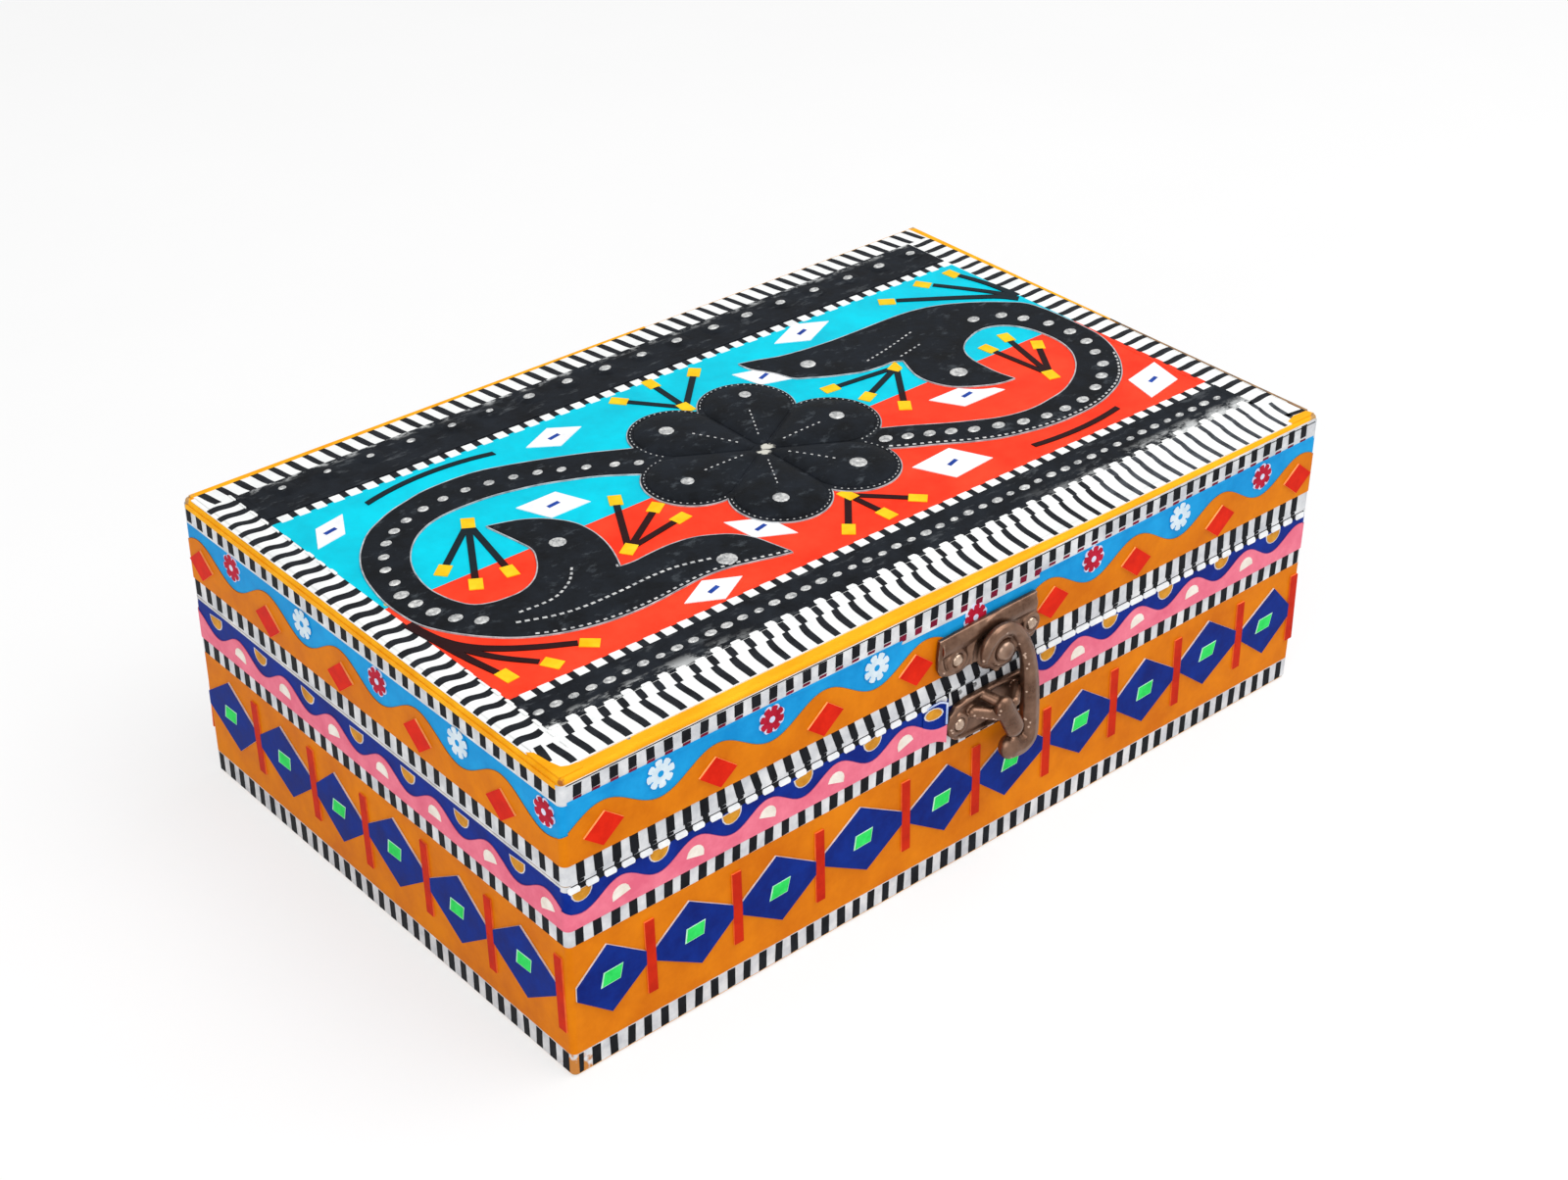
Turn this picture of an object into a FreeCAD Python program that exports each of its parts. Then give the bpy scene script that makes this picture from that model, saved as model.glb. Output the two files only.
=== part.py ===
import FreeCAD, Part
import math
import os

import Sketcher
from FreeCAD import Placement, Rotation, Vector

# A small wooden keepsake box: a base tray and a lid tray with glued and pinned
# butt joints, two surface hinges behind, a swinging hook latch in front, and
# tapes, films and cut-outs stuck on every outer face but the underside.
# Millimetres, +Z up, front towards -Y, origin under the middle of the base.

os.makedirs("parts", exist_ok=True)
doc = FreeCAD.newDocument("keepsake_box")
sheet = doc.addObject("Spreadsheet::Sheet", "sizes")

SIZES = {
    # wooden trays
    "carcass_width": 240,
    "carcass_depth": 150,
    "base_height": 52.5,
    "lid_height": 27.5,
    "wall_thick": 6,
    "bottom_thick": 4,
    "top_thick": 4,
    "corner_round": 1.2,
    "edge_round": 0.8,
    # panel pins in the wood joints
    "pin_shank": 0.5,
    "corner_pin_length": 15,
    "panel_pin_length": 13,
    "pin_inset": 20,
    "hole_clear": 0.02,
    # tape, film and sheet stock
    "tape_thick": 0.3,
    "film_thick": 0.2,
    "emboss_thick": 0.5,
    # runs of tape on the lid's sides, from the top down
    "lid_edge_margin": 1.4,
    "lid_upper_stripe": 5,
    "lid_lower_stripe": 5.2,
    "parting_reveal": 0.3,
    # runs of tape on the base's sides, from the rim down
    "base_rim_stripe": 1.4,
    "base_wave_band": 10.4,
    "base_mid_stripe": 4.4,
    "base_bottom_stripe": 5.6,
    "base_foot_margin": 0.5,
    # wave films on both bands, from their joint behind the latch
    "lid_wave_middle": 9.3,
    "lid_wave_swing": 3.3,
    "lid_wave_start": 17.7,
    "lid_wave_pitch": 30.86,
    "base_wave_middle": 5.8,
    "base_wave_swing": 2.3,
    "base_wave_start": 9.8,
    "base_wave_pitch": 20.63,
    # cut-outs on the sides
    "hand_sway": 0.6,
    "ornament_clear": 1,
    "base_diamond_height": 19.4,
    "diamond_blunt": 3.8,
    "cut_gap": 0.05,
    "base_diamond_rise": 1.4,
    "bar_width": 2.6,
    "bar_height": 20.4,
    "lid_diamond_width": 10.5,
    "lid_diamond_height": 8.6,
    "lid_diamond_rise": 5.4,
    "daisy_tip": 3.7,
    "daisy_petal_depth": 1,
    "daisy_rise": 12,
    # fields on the lid's top
    "top_margin_front": 3,
    "top_margin_back": 1.2,
    "top_margin_side": 1.6,
    "border_front": 12.4,
    "border_back": 7.4,
    "border_side": 8.8,
    "black_band_front": 11.8,
    "black_band_back": 14.4,
    "dotted_strip": 2.7,
    "seam_shift": 1.7,
    # cut-outs on the lid's top
    "petal_tip": 35,
    "petal_depth": 10,
    "stem_width": 1.7,
    "bud_width": 3.3,
    "bud_length": 4.6,
    # surface hinges
    "hinge_spacing": 140,
    "leaf_width": 24,
    "leaf_height": 12,
    "leaf_thick": 0.8,
    "knuckle_radius": 1.6,
    "knuckle_gap": 0.3,
    "hinge_pin_radius": 0.8,
    "running_clear": 0.05,
    "hinge_nail_spacing": 15,
    "hinge_nail_reach": 7.5,
    # round-head nails
    "nail_shank": 0.6,
    "nail_head": 1.6,
    "nail_head_height": 0.7,
    "nail_length": 5.8,
    "nail_point": 1,
    # hook latch
    "latch_shift": 4.3,
    "latch_plate_thick": 1.2,
    "pivot_rise": 8,
    "upper_plate_width": 32,
    "upper_plate_shift": -2.8,
    "upper_plate_above": 9.6,
    "upper_plate_below": 2.6,
    "upper_plate_lobe": 7.2,
    "upper_plate_corner": 2,
    "upper_nail_spacing": 24,
    "upper_nail_shift": -1.2,
    "upper_nail_rise": 1.8,
    "lower_plate_width": 30,
    "lower_plate_height": 11.4,
    "lower_plate_drop": 9,
    "lower_nail_spacing": 23,
    "keeper_shift": 0.8,
    "keeper_inset": 0.2,
    "keeper_stem_width": 2.6,
    "keeper_stem_height": 3.2,
    "keeper_head_width": 5,
    "keeper_head_height": 12.8,
    "keeper_head_thick": 2.9,
    "keeper_reach": 4.9,
    "hook_eye": 7.2,
    "hook_stand_off": 1.2,
    "hook_thick": 3,
    "hook_arm_width": 5.4,
    "hook_shoulder": 7.6,
    "hook_shoulder_shift": 2,
    "hook_drop": 23.6,
    "hook_curl": 6,
    "hook_tip_reach": -1,
    "hook_dish": 4.4,
    "hook_dish_depth": 1.2,
    "hook_rest_angle": 4,
    "hook_gap": 0.1,
    "rivet_shank": 1.5,
    "rivet_head": 2.8,
    "rivet_head_height": 1.6,
    "rivet_rim": 0.4,
}

# Petals of the flowers
DAISY_PETALS = 8
FLOWER_PETALS = 6

# How far a shape that only cuts runs past what it cuts
OVERRUN = 1.0

# Mark of an arc about the upright axis, in an outline
DOME = "dome"


class Dim:
    """A length: its number, and the formula on the sheet that gives it."""

    def __init__(self, value, formula):
        self.value = value
        self.formula = formula

    def __add__(self, other):
        other = as_dim(other)
        return Dim(self.value + other.value, f"({self.formula} + {other.formula})")

    __radd__ = __add__

    def __sub__(self, other):
        other = as_dim(other)
        return Dim(self.value - other.value, f"({self.formula} - {other.formula})")

    def __rsub__(self, other):
        return as_dim(other) - self

    def __mul__(self, factor):
        return Dim(self.value * factor, f"({self.formula} * ({factor!r}))")

    __rmul__ = __mul__

    def __truediv__(self, divisor):
        return self * (1 / divisor)

    def __neg__(self):
        return self * -1.0

    def __float__(self):
        return self.value


def as_dim(length):
    """Give a plain number the form of a length."""
    if isinstance(length, Dim):
        return length
    return Dim(float(length), repr(float(length)))


class Sizes:
    """Every size on the sheet, by its name."""


for row, (alias, number) in enumerate(SIZES.items(), 1):
    sheet.set(f"A{row}", alias.replace("_", " "))
    sheet.set(f"B{row}", str(number))
    sheet.setAlias(f"B{row}", alias)
doc.recompute()

size = Sizes()
for alias in SIZES:
    setattr(size, alias, Dim(float(sheet.get(alias)), "sizes." + alias))

ALONG_X = Rotation(Vector(0, 1, 0), 90)
ALONG_Y = Rotation(Vector(1, 0, 0), -90)
ALONG_MINUS_Y = Rotation(Vector(1, 0, 0), 90)
ALONG_Z = Rotation()

nodes = []


def node(label, obj):
    """Name a finished piece, which is saved in a file of that name."""
    obj.Label = label
    nodes.append(obj)
    return obj


def bind(obj, **lengths):
    """Bind each named property to its formula on the sheet."""
    for name, length in lengths.items():
        obj.setExpression(name, as_dim(length).formula)


def move(obj, x, y, z):
    """Bind an object's place to formulas on the sheet."""
    obj.setExpression("Placement.Base.x", as_dim(x).formula)
    obj.setExpression("Placement.Base.y", as_dim(y).formula)
    obj.setExpression("Placement.Base.z", as_dim(z).formula)


def block(name, length, width, height, x, y, z):
    """A plain box with its low corner at x, y, z."""
    obj = doc.addObject("Part::Box", name)
    bind(obj, Length=length, Width=width, Height=height)
    move(obj, x, y, z)
    return obj


def rod(name, radius, length, x, y, z, turn):
    """A round bar that starts at x, y, z."""
    obj = doc.addObject("Part::Cylinder", name)
    obj.Placement = Placement(Vector(), turn)
    bind(obj, Radius=radius, Height=length)
    move(obj, x, y, z)
    return obj


def rounded(name, length, width, height, z, radius):
    """A box about the vertical axis with its upright edges rounded."""
    core = block(name + "_core", length, width, height, length / -2, width / -2, z)
    doc.recompute()
    obj = doc.addObject("Part::Fillet", name)
    obj.Base = core
    upright = [
        place
        for place, edge in enumerate(core.Shape.Edges, 1)
        if abs(edge.tangentAt(edge.FirstParameter).z) > 0.9
    ]
    obj.Edges = [(place, float(radius), float(radius)) for place in upright]
    return obj


def cut(name, base, tool):
    obj = doc.addObject("Part::Cut", name)
    obj.Base = base
    obj.Tool = tool
    return obj


def common(name, base, tool):
    obj = doc.addObject("Part::Common", name)
    obj.Base = base
    obj.Tool = tool
    return obj


def fused(name, pieces):
    obj = doc.addObject("Part::MultiFuse", name)
    obj.Shapes = pieces
    return obj


def group(name, pieces):
    """Separate solids kept together."""
    obj = doc.addObject("Part::Compound", name)
    obj.Links = pieces
    return obj


def fixed(name, solids):
    """Cut-outs drawn in code, kept together as separate solids."""
    obj = doc.addObject("Part::Feature", name)
    obj.Shape = Part.makeCompound(solids)
    return obj


# Levels and faces that several pieces share
half_width = size.carcass_width / 2
half_depth = size.carcass_depth / 2
parting = size.base_height
lid_top = size.base_height + size.lid_height
rail_height = size.lid_height - size.top_thick
wall_height = size.base_height - size.bottom_thick
inner_depth = size.carcass_depth - 2 * size.wall_thick
seat = size.tape_thick + size.film_thick

# Places of the latch and of the hinges
pivot_height = parting + size.pivot_rise
lower_plate_height = parting - size.lower_plate_drop
hinge_axis_y = half_depth + seat + size.knuckle_radius
hinge_places = {"left": -size.hinge_spacing / 2, "right": size.hinge_spacing / 2}

upper_nail_x = [size.upper_nail_shift + side * size.upper_nail_spacing / 2 for side in (-1, 1)]
latch_upper_spots = [
    (size.latch_shift + nail_x, pivot_height + size.upper_nail_rise) for nail_x in upper_nail_x
]
latch_lower_spots = [
    (size.latch_shift + side * size.lower_nail_spacing / 2, lower_plate_height)
    for side in (-1, 1)
]
hinge_spots = {
    part: [
        (middle + side * size.hinge_nail_spacing / 2, parting + way * size.hinge_nail_reach)
        for middle in hinge_places.values()
        for side in (-1, 1)
    ]
    for part, way in (("base", -1), ("lid", 1))
}


def nail_holes(name, front_spots, back_spots):
    """Holes for nails driven into the front and the back of one tray."""
    radius = size.nail_shank + size.hole_clear
    deep = size.nail_length + size.hole_clear
    front = [
        rod(
            f"{name}_front_{place}", radius, deep + size.wall_thick, x,
            -half_depth - seat - size.latch_plate_thick + deep, z, ALONG_MINUS_Y,
        )
        for place, (x, z) in enumerate(front_spots)
    ]
    back = [
        rod(
            f"{name}_back_{place}", radius, deep + size.wall_thick, x,
            half_depth + seat + size.leaf_thick - deep, z, ALONG_Y,
        )
        for place, (x, z) in enumerate(back_spots)
    ]
    return group(name, front + back)


lid_nail_holes = nail_holes("lid_nail_holes", latch_upper_spots, hinge_spots["lid"])
base_nail_holes = nail_holes("base_nail_holes", latch_lower_spots, hinge_spots["base"])


def corner_pins(name, heights, radius, length):
    """Pins through the long walls into the ends of the short ones."""
    reach = half_width - size.wall_thick / 2
    pieces = []
    for place, z in enumerate(heights):
        for side in (-1, 1):
            for wall, y, turn in (("front", -half_depth, ALONG_Y), ("back", half_depth, ALONG_MINUS_Y)):
                pin = f"{name}_{wall}_{place}_{side + 1}"
                pieces.append(rod(pin, radius, length, side * reach, y, z, turn))
    return group(name, pieces)


def panel_pins(name, radius, length, z):
    """Upright pins through a top or bottom panel into the walls."""
    pieces = []
    for side in (-1, 1):
        long_reach = half_width - size.pin_inset
        for place, x in enumerate((-long_reach, as_dim(0), long_reach)):
            y = side * (half_depth - size.wall_thick / 2)
            pieces.append(rod(f"{name}_long_{place}_{side + 1}", radius, length, x, y, z, ALONG_Z))
        short_reach = half_depth - size.pin_inset
        for place, y in enumerate((-short_reach, short_reach)):
            x = side * (half_width - size.wall_thick / 2)
            pieces.append(rod(f"{name}_short_{place}_{side + 1}", radius, length, x, y, z, ALONG_Z))
    return group(name, pieces)


base_corner_heights = [size.bottom_thick + size.pin_inset, parting - size.pin_inset / 2]
lid_corner_heights = [parting + rail_height / 2]
hole_radius = size.pin_shank + size.hole_clear

node("base_corner_pins", corner_pins(
    "base_corner_pins", base_corner_heights, size.pin_shank, size.corner_pin_length))
node("lid_corner_pins", corner_pins(
    "lid_corner_pins", lid_corner_heights, size.pin_shank, size.corner_pin_length))
node("base_bottom_pins", panel_pins(
    "base_bottom_pins", size.pin_shank, size.panel_pin_length, as_dim(0)))
node("lid_top_pins", panel_pins(
    "lid_top_pins", size.pin_shank, size.panel_pin_length, lid_top - size.panel_pin_length))

base_pin_holes = group("base_pin_holes", [
    corner_pins("base_corner_holes", base_corner_heights, hole_radius, size.corner_pin_length),
    panel_pins("base_bottom_holes", hole_radius, size.panel_pin_length, as_dim(0)),
])
lid_pin_holes = group("lid_pin_holes", [
    corner_pins("lid_corner_holes", lid_corner_heights, hole_radius, size.corner_pin_length),
    panel_pins("lid_top_holes", hole_radius, size.panel_pin_length, lid_top - size.panel_pin_length),
])


def tray_walls(tray, z, height, pin_holes, hole_sets):
    """Two long walls with two short walls glued and pinned between them."""
    outline = rounded(
        f"{tray}_outline", size.carcass_width, size.carcass_depth, height, z, size.corner_round)
    kind = "wall" if tray == "base" else "rail"
    for side, y in (("front", -half_depth), ("back", half_depth - size.wall_thick)):
        name = f"{tray}_{side}_{kind}"
        plank = block(f"{name}_plank", size.carcass_width, size.wall_thick, height, -half_width, y, z)
        shaped = common(f"{name}_shaped", plank, outline)
        pinned = cut(f"{name}_pinned", shaped, pin_holes)
        node(name, cut(name, pinned, hole_sets))
    for side, x in (("left", -half_width), ("right", half_width - size.wall_thick)):
        name = f"{tray}_{side}_{kind}"
        y = -half_depth + size.wall_thick
        plank = block(f"{name}_plank", size.wall_thick, inner_depth, height, x, y, z)
        node(name, cut(name, plank, pin_holes))


# Base tray
bottom = rounded(
    "bottom_blank", size.carcass_width, size.carcass_depth, size.bottom_thick, as_dim(0), size.corner_round)
node("base_bottom_panel", cut("base_bottom_panel", bottom, base_pin_holes))
tray_walls("base", size.bottom_thick, wall_height, base_pin_holes, base_nail_holes)

# Lid tray, with the top panel's upper edge rounded
top = rounded(
    "top_blank", size.carcass_width, size.carcass_depth, size.top_thick, lid_top - size.top_thick,
    size.corner_round)
doc.recompute()
eased = doc.addObject("Part::Fillet", "top_eased")
eased.Base = top
eased.Edges = [
    (place, float(size.edge_round), float(size.edge_round))
    for place, edge in enumerate(top.Shape.Edges, 1)
    if edge.BoundBox.ZMin > float(lid_top) - 0.01
]
node("lid_top_panel", cut("lid_top_panel", eased, lid_pin_holes))
tray_walls("lid", parting, rail_height, lid_pin_holes, lid_nail_holes)


def wrapped(name, z, height, level, thick):
    """A strip wrapped round the box, its inner face this far off the wood."""
    rings = []
    for part, off in (("outer", level + thick), ("inner", as_dim(level))):
        rings.append(
            rounded(
                f"{name}_{part}", size.carcass_width + 2 * off, size.carcass_depth + 2 * off,
                height, z, size.corner_round + off,
            )
        )
    return cut(name + "_ring", rings[0], rings[1])


# Runs of tape, stacked upwards on the base and on the lid
base_stripe_foot = size.base_foot_margin
field_foot = base_stripe_foot + size.base_bottom_stripe
rim_foot = parting - size.base_rim_stripe
base_band_foot = rim_foot - size.base_wave_band
mid_foot = base_band_foot - size.base_mid_stripe
lid_stripe_foot = parting + size.parting_reveal
lid_band_foot = lid_stripe_foot + size.lid_lower_stripe
upper_foot = lid_top - size.lid_edge_margin - size.lid_upper_stripe

plain_runs = {
    "base_bottom_zebra_tape": (base_stripe_foot, size.base_bottom_stripe),
    "base_orange_field_film": (field_foot, mid_foot - field_foot),
    "base_middle_zebra_tape": (mid_foot, size.base_mid_stripe),
    "base_rim_zebra_tape": (rim_foot, size.base_rim_stripe),
    "lid_lower_zebra_tape": (lid_stripe_foot, size.lid_lower_stripe),
    "lid_upper_zebra_tape": (upper_foot, size.lid_upper_stripe),
}
for name, (foot, height) in plain_runs.items():
    node(name, wrapped(name, foot, height, 0, size.tape_thick))

base_band = wrapped("base_navy_band", base_band_foot, size.base_wave_band, 0, size.tape_thick)
node("base_navy_band", cut("base_navy_band", base_band, base_nail_holes))
lid_band_height = upper_foot - lid_band_foot
lid_band = wrapped("lid_sky_blue_band", lid_band_foot, lid_band_height, 0, size.tape_thick)
node("lid_sky_blue_band", cut("lid_sky_blue_band", lid_band, lid_nail_holes))

# The four sides in turn round the box: first corner, way along, way out, run
W = float(size.carcass_width)
D = float(size.carcass_depth)
SIDES = {
    "front": (Vector(-W / 2, -D / 2, 0), Vector(1, 0, 0), Vector(0, -1, 0), W),
    "right": (Vector(W / 2, -D / 2, 0), Vector(0, 1, 0), Vector(1, 0, 0), D),
    "back": (Vector(W / 2, D / 2, 0), Vector(-1, 0, 0), Vector(0, 1, 0), W),
    "left": (Vector(-W / 2, D / 2, 0), Vector(0, -1, 0), Vector(-1, 0, 0), D),
}
GIRTH = 2 * (W + D)

# The wave films start and end at a joint behind the latch
joint = float(half_width + size.latch_shift)


def film_runs():
    """The straight runs of a wave film in turn: side, ends along it, and how
    far round the box from the joint its first corner lies."""
    yield "front", joint, W, -joint
    yield "right", 0, D, W - joint
    yield "back", 0, W, W + D - joint
    yield "left", 0, D, GIRTH - D - joint
    yield "front", 0, joint, GIRTH - joint


def on_side(side, u, z, level):
    """The point u along a side at height z, this far off the wood."""
    corner, along, out, run = SIDES[side]
    return corner + along * u + out * float(level) + Vector(0, 0, z)


def side_plate(side, edges, thick):
    """A flat cut-out from a closed chain of edges on one side."""
    face = Part.Face(Part.Wire(edges))
    return face.extrude(SIDES[side][2] * float(thick))


def polygon(points):
    """The edges of a closed outline with straight runs."""
    return Part.makePolygon(list(points) + [points[0]]).Edges


def curve(points):
    """A smooth edge through points."""
    spline = Part.BSplineCurve()
    spline.interpolate(points)
    return spline.toShape()


def wave_film(name, foot, height, middle, swing, pitch, start, holes):
    """A film on a band whose upper edge is one wave right round the box."""
    ring = wrapped(name, foot, height, size.tape_thick, size.film_thick)
    inward = -float(size.corner_round)
    ceiling = float(foot + height) + OVERRUN
    trims = []
    for side, first, last, begin in film_runs():
        low = first if first == joint else first - OVERRUN
        high = last if last == joint else last + OVERRUN
        steps = 8 * round((high - low) / float(pitch))
        crest = []
        for step in range(steps + 1):
            u = low + (high - low) * step / steps
            phase = 2 * math.pi * (begin + u - float(start)) / float(pitch)
            crest.append(on_side(side, u, float(foot + middle) + float(swing) * math.cos(phase), inward))
        over = [on_side(side, high, ceiling, inward), on_side(side, low, ceiling, inward)]
        rest = Part.makePolygon([crest[-1], *over, crest[0]]).Edges
        trims.append(side_plate(side, [curve(crest), *rest], size.corner_round + seat + OVERRUN))
    trim = doc.addObject("Part::Feature", name + "_trim")
    trim.Shape = trims[0].multiFuse(trims[1:])
    return node(name, cut(name, cut(name + "_waved", ring, trim), holes))


wave_film("lid_orange_wave_film", lid_band_foot, lid_band_height, size.lid_wave_middle,
          size.lid_wave_swing, size.lid_wave_pitch, size.lid_wave_start, lid_nail_holes)
wave_film("base_pink_wave_film", base_band_foot, size.base_wave_band, size.base_wave_middle,
          size.base_wave_swing, size.base_wave_pitch, size.base_wave_start, base_nail_holes)


def sway(place):
    """A small uneven offset, as of work cut and laid by hand."""
    return float(size.hand_sway) * math.sin(2.4 * place + 0.7)


def four_corners(side, u, z, level, corners):
    """A cut-out with four straight edges, about the point u along a side."""
    spots = [on_side(side, u + a, z + b, level) for a, b in corners]
    return side_plate(side, polygon(spots), size.film_thick)


def diamond(side, u, z, width, height, level, lean):
    """A diamond, a little skewed."""
    half = float(width) / 2
    tall = float(height) / 2
    return four_corners(side, u, z, level, [(-half, lean), (lean, -tall), (half, -lean), (-lean, tall)])


def bar(side, u, z, width, height, level):
    half = float(width) / 2
    tall = float(height) / 2
    return four_corners(side, u, z, level, [(-half, -tall), (half, -tall), (half, tall), (-half, tall)])


def daisy(side, u, z, level, turn):
    """A flower cut-out with round petals."""
    def spot(radius, angle):
        reach = float(radius)
        return on_side(side, u + reach * math.cos(angle), z + reach * math.sin(angle), level)

    step = 2 * math.pi / DAISY_PETALS
    edges = []
    for petal in range(DAISY_PETALS):
        angle = turn + petal * step
        notch = size.daisy_tip - size.daisy_petal_depth
        ends = spot(notch, angle), spot(notch, angle + step)
        edges.append(Part.Arc(ends[0], spot(size.daisy_tip, angle + step / 2), ends[1]).toShape())
    return side_plate(side, edges, size.film_thick)


# Dark blue diamonds with red bars after them on the orange field, laid by eye:
# where the top and the bottom point of each diamond stand, and the middle of
# each bar, in hundredths of the side. The bars cut the diamonds' side points off.
LONG_DIAMONDS = [
    (4, 4.4), (13.5, 14.9), (24, 24.8), (34.7, 35.7), (46.3, 46.2),
    (55.9, 54.7), (65.5, 65.7), (75.1, 75.3), (85.1, 85), (95.8, 94.9),
]
LONG_BARS = [9, 19.3, 29.6, 40.8, 50.4, 60.5, 70.5, 80.4, 90.4, 99.3]
SHORT_DIAMONDS = [(7.9, 9.5), (23.7, 25.8), (39.5, 40.7), (56, 56.7), (73.2, 73.2), (88.8, 89.9)]
SHORT_BARS = [16.1, 32.9, 47.9, 64.5, 80.9, 98.1]


def blunt_diamond(side, z, first, last, top, bottom):
    """A diamond between two bars, with its side points cut off."""
    tall = float(size.base_diamond_height) / 2
    blunt = float(size.diamond_blunt) / 2
    corners = [(first, -blunt), (bottom, -tall), (last, -blunt), (last, blunt), (top, tall), (first, blunt)]
    spots = [on_side(side, u, z + rise, size.tape_thick) for u, rise in corners]
    return side_plate(side, polygon(spots), size.film_thick)


field_middle = float(field_foot + mid_foot) / 2
bar_edge = float(size.bar_width) / 2 + float(size.cut_gap)
blue_diamonds = []
red_bars = []
for side, (corner, along, out, run) in SIDES.items():
    long_side = side in ("front", "back")
    middle = field_middle + float(size.base_diamond_rise)
    bars = [run * share / 100 for share in (LONG_BARS if long_side else SHORT_BARS)]
    first = float(size.corner_round)
    for place, (top, bottom) in enumerate(LONG_DIAMONDS if long_side else SHORT_DIAMONDS):
        blue_diamonds.append(
            blunt_diamond(side, middle + sway(place), first, bars[place] - bar_edge,
                          run * top / 100, run * bottom / 100)
        )
        first = bars[place] + bar_edge
    for place, u in enumerate(bars):
        red_bars.append(
            bar(side, u, middle + sway(place + 5), size.bar_width, size.bar_height, size.tape_thick)
        )
node("base_blue_diamonds", fixed("base_blue_diamonds", blue_diamonds))
node("base_red_bars", fixed("base_red_bars", red_bars))

# Hardware that lies over the lid's band: side, middle along it and half its width
hardware = [("front", joint + float(size.upper_plate_shift), float(size.upper_plate_width) / 2)]
for middle in hinge_places.values():
    hardware.append(("back", W / 2 - float(middle), float(size.leaf_width) / 2))


def beside_hardware(side, u):
    """Where a lid diamond lies once it is moved clear of the hardware. One that
    is more than half under it is left out."""
    half = float(size.lid_diamond_width) / 2
    for place, middle, cover in hardware:
        off = abs(u - middle)
        reach = cover + half + float(size.ornament_clear)
        if place != side or off > reach:
            continue
        return None if off < cover else middle + math.copysign(reach, u - middle)
    return u


# Red diamonds on the crests of the lid's wave, and daisies over its hollows,
# red and white by turns; a diamond near a corner is moved clear of its rounding
lid_start = float(size.lid_wave_start)
lid_pitch = float(size.lid_wave_pitch)
lid_crests = math.ceil((GIRTH - lid_start) / lid_pitch)
diamond_half = float(size.lid_diamond_width) / 2
diamond_edge = diamond_half + float(size.corner_round)
daisy_edge = float(size.daisy_tip + size.ornament_clear)
lid_diamonds = []
daisies = {"red": [], "white": []}
for side, first, last, begin in film_runs():
    run = SIDES[side][3]
    for crest in range(lid_crests):
        u = lid_start + crest * lid_pitch - begin
        hollow = u + lid_pitch / 2
        u = beside_hardware(side, u) if first <= u < last else None
        if u is not None and diamond_half < u < run - diamond_half:
            u = min(max(u, diamond_edge), run - diamond_edge)
            lid_diamonds.append(
                diamond(side, u, float(lid_band_foot + size.lid_diamond_rise) + sway(crest),
                        size.lid_diamond_width, size.lid_diamond_height, seat, sway(crest + 2))
            )
        if first <= hollow < last and daisy_edge < hollow < run - daisy_edge:
            height = float(lid_band_foot + size.daisy_rise) + sway(crest) / 2
            petals = daisy(side, hollow, height, size.tape_thick, sway(crest))
            daisies["white" if crest % 2 else "red"].append(petals)
node("lid_red_diamonds", fixed("lid_red_diamonds", lid_diamonds))
for colour, cut_outs in daisies.items():
    node(f"lid_{colour}_daisies", fixed(f"lid_{colour}_daisies", cut_outs))

# Films and strips laid side by side on the lid's top, from the front to the back
film_half = half_width - size.top_margin_side
border_x = film_half - size.border_side
front_edge = -half_depth + size.top_margin_front
front_border_end = front_edge + size.border_front
front_band_end = front_border_end + size.black_band_front
front_dots_end = front_band_end + size.dotted_strip
back_edge = half_depth - size.top_margin_back
back_border_start = back_edge - size.border_back
back_band_start = back_border_start - size.black_band_back
back_dots_start = back_band_start - size.dotted_strip
seam = size.seam_shift


def top_film(name, x_from, x_to, y_from, y_to, thick):
    return node(name, block(name, x_to - x_from, y_to - y_from, thick, x_from, y_from, lid_top))


for name, y_from, y_to in (
    ("top_front_zebra_strip", front_edge, front_border_end),
    ("top_back_zebra_strip", back_border_start, back_edge),
):
    top_film(name, -film_half, film_half, y_from, y_to, size.tape_thick)
for name, x_from, x_to in (
    ("top_left_zebra_strip", -film_half, -border_x),
    ("top_right_zebra_strip", border_x, film_half),
):
    top_film(name, x_from, x_to, front_border_end, back_border_start, size.tape_thick)
for name, y_from, y_to, thick in (
    ("top_front_black_band", front_border_end, front_band_end, size.emboss_thick),
    ("top_front_dotted_strip", front_band_end, front_dots_end, size.tape_thick),
    ("top_red_film", front_dots_end, seam, size.tape_thick),
    ("top_turquoise_film", seam, back_dots_start, size.tape_thick),
    ("top_back_dotted_strip", back_dots_start, back_band_start, size.tape_thick),
    ("top_back_black_band", back_band_start, back_border_start, size.emboss_thick),
):
    top_film(name, -border_x, border_x, y_from, y_to, thick)

# The lid's ornament is drawn about the middle of the flower on a field of this
# size, and is stretched to the field it lies on
DRAWN_HALF_WIDTH = 109.6
DRAWN_HALF_DEPTH = 47.0
stretch_x = float(border_x) / DRAWN_HALF_WIDTH
stretch_y = float(back_dots_start - front_dots_end) / 2 / DRAWN_HALF_DEPTH
ornament_height = float(lid_top + size.tape_thick)


def on_top(x, y):
    """A drawn point of the ornament, on the films."""
    return Vector(x * stretch_x, float(seam) + y * stretch_y, ornament_height)


def top_plate(edges, thick):
    face = Part.Face(Part.Wire(edges))
    return face.extrude(Vector(0, 0, float(thick)))


def half_turn(points):
    return [(-x, -y) for x, y in points]


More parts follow.
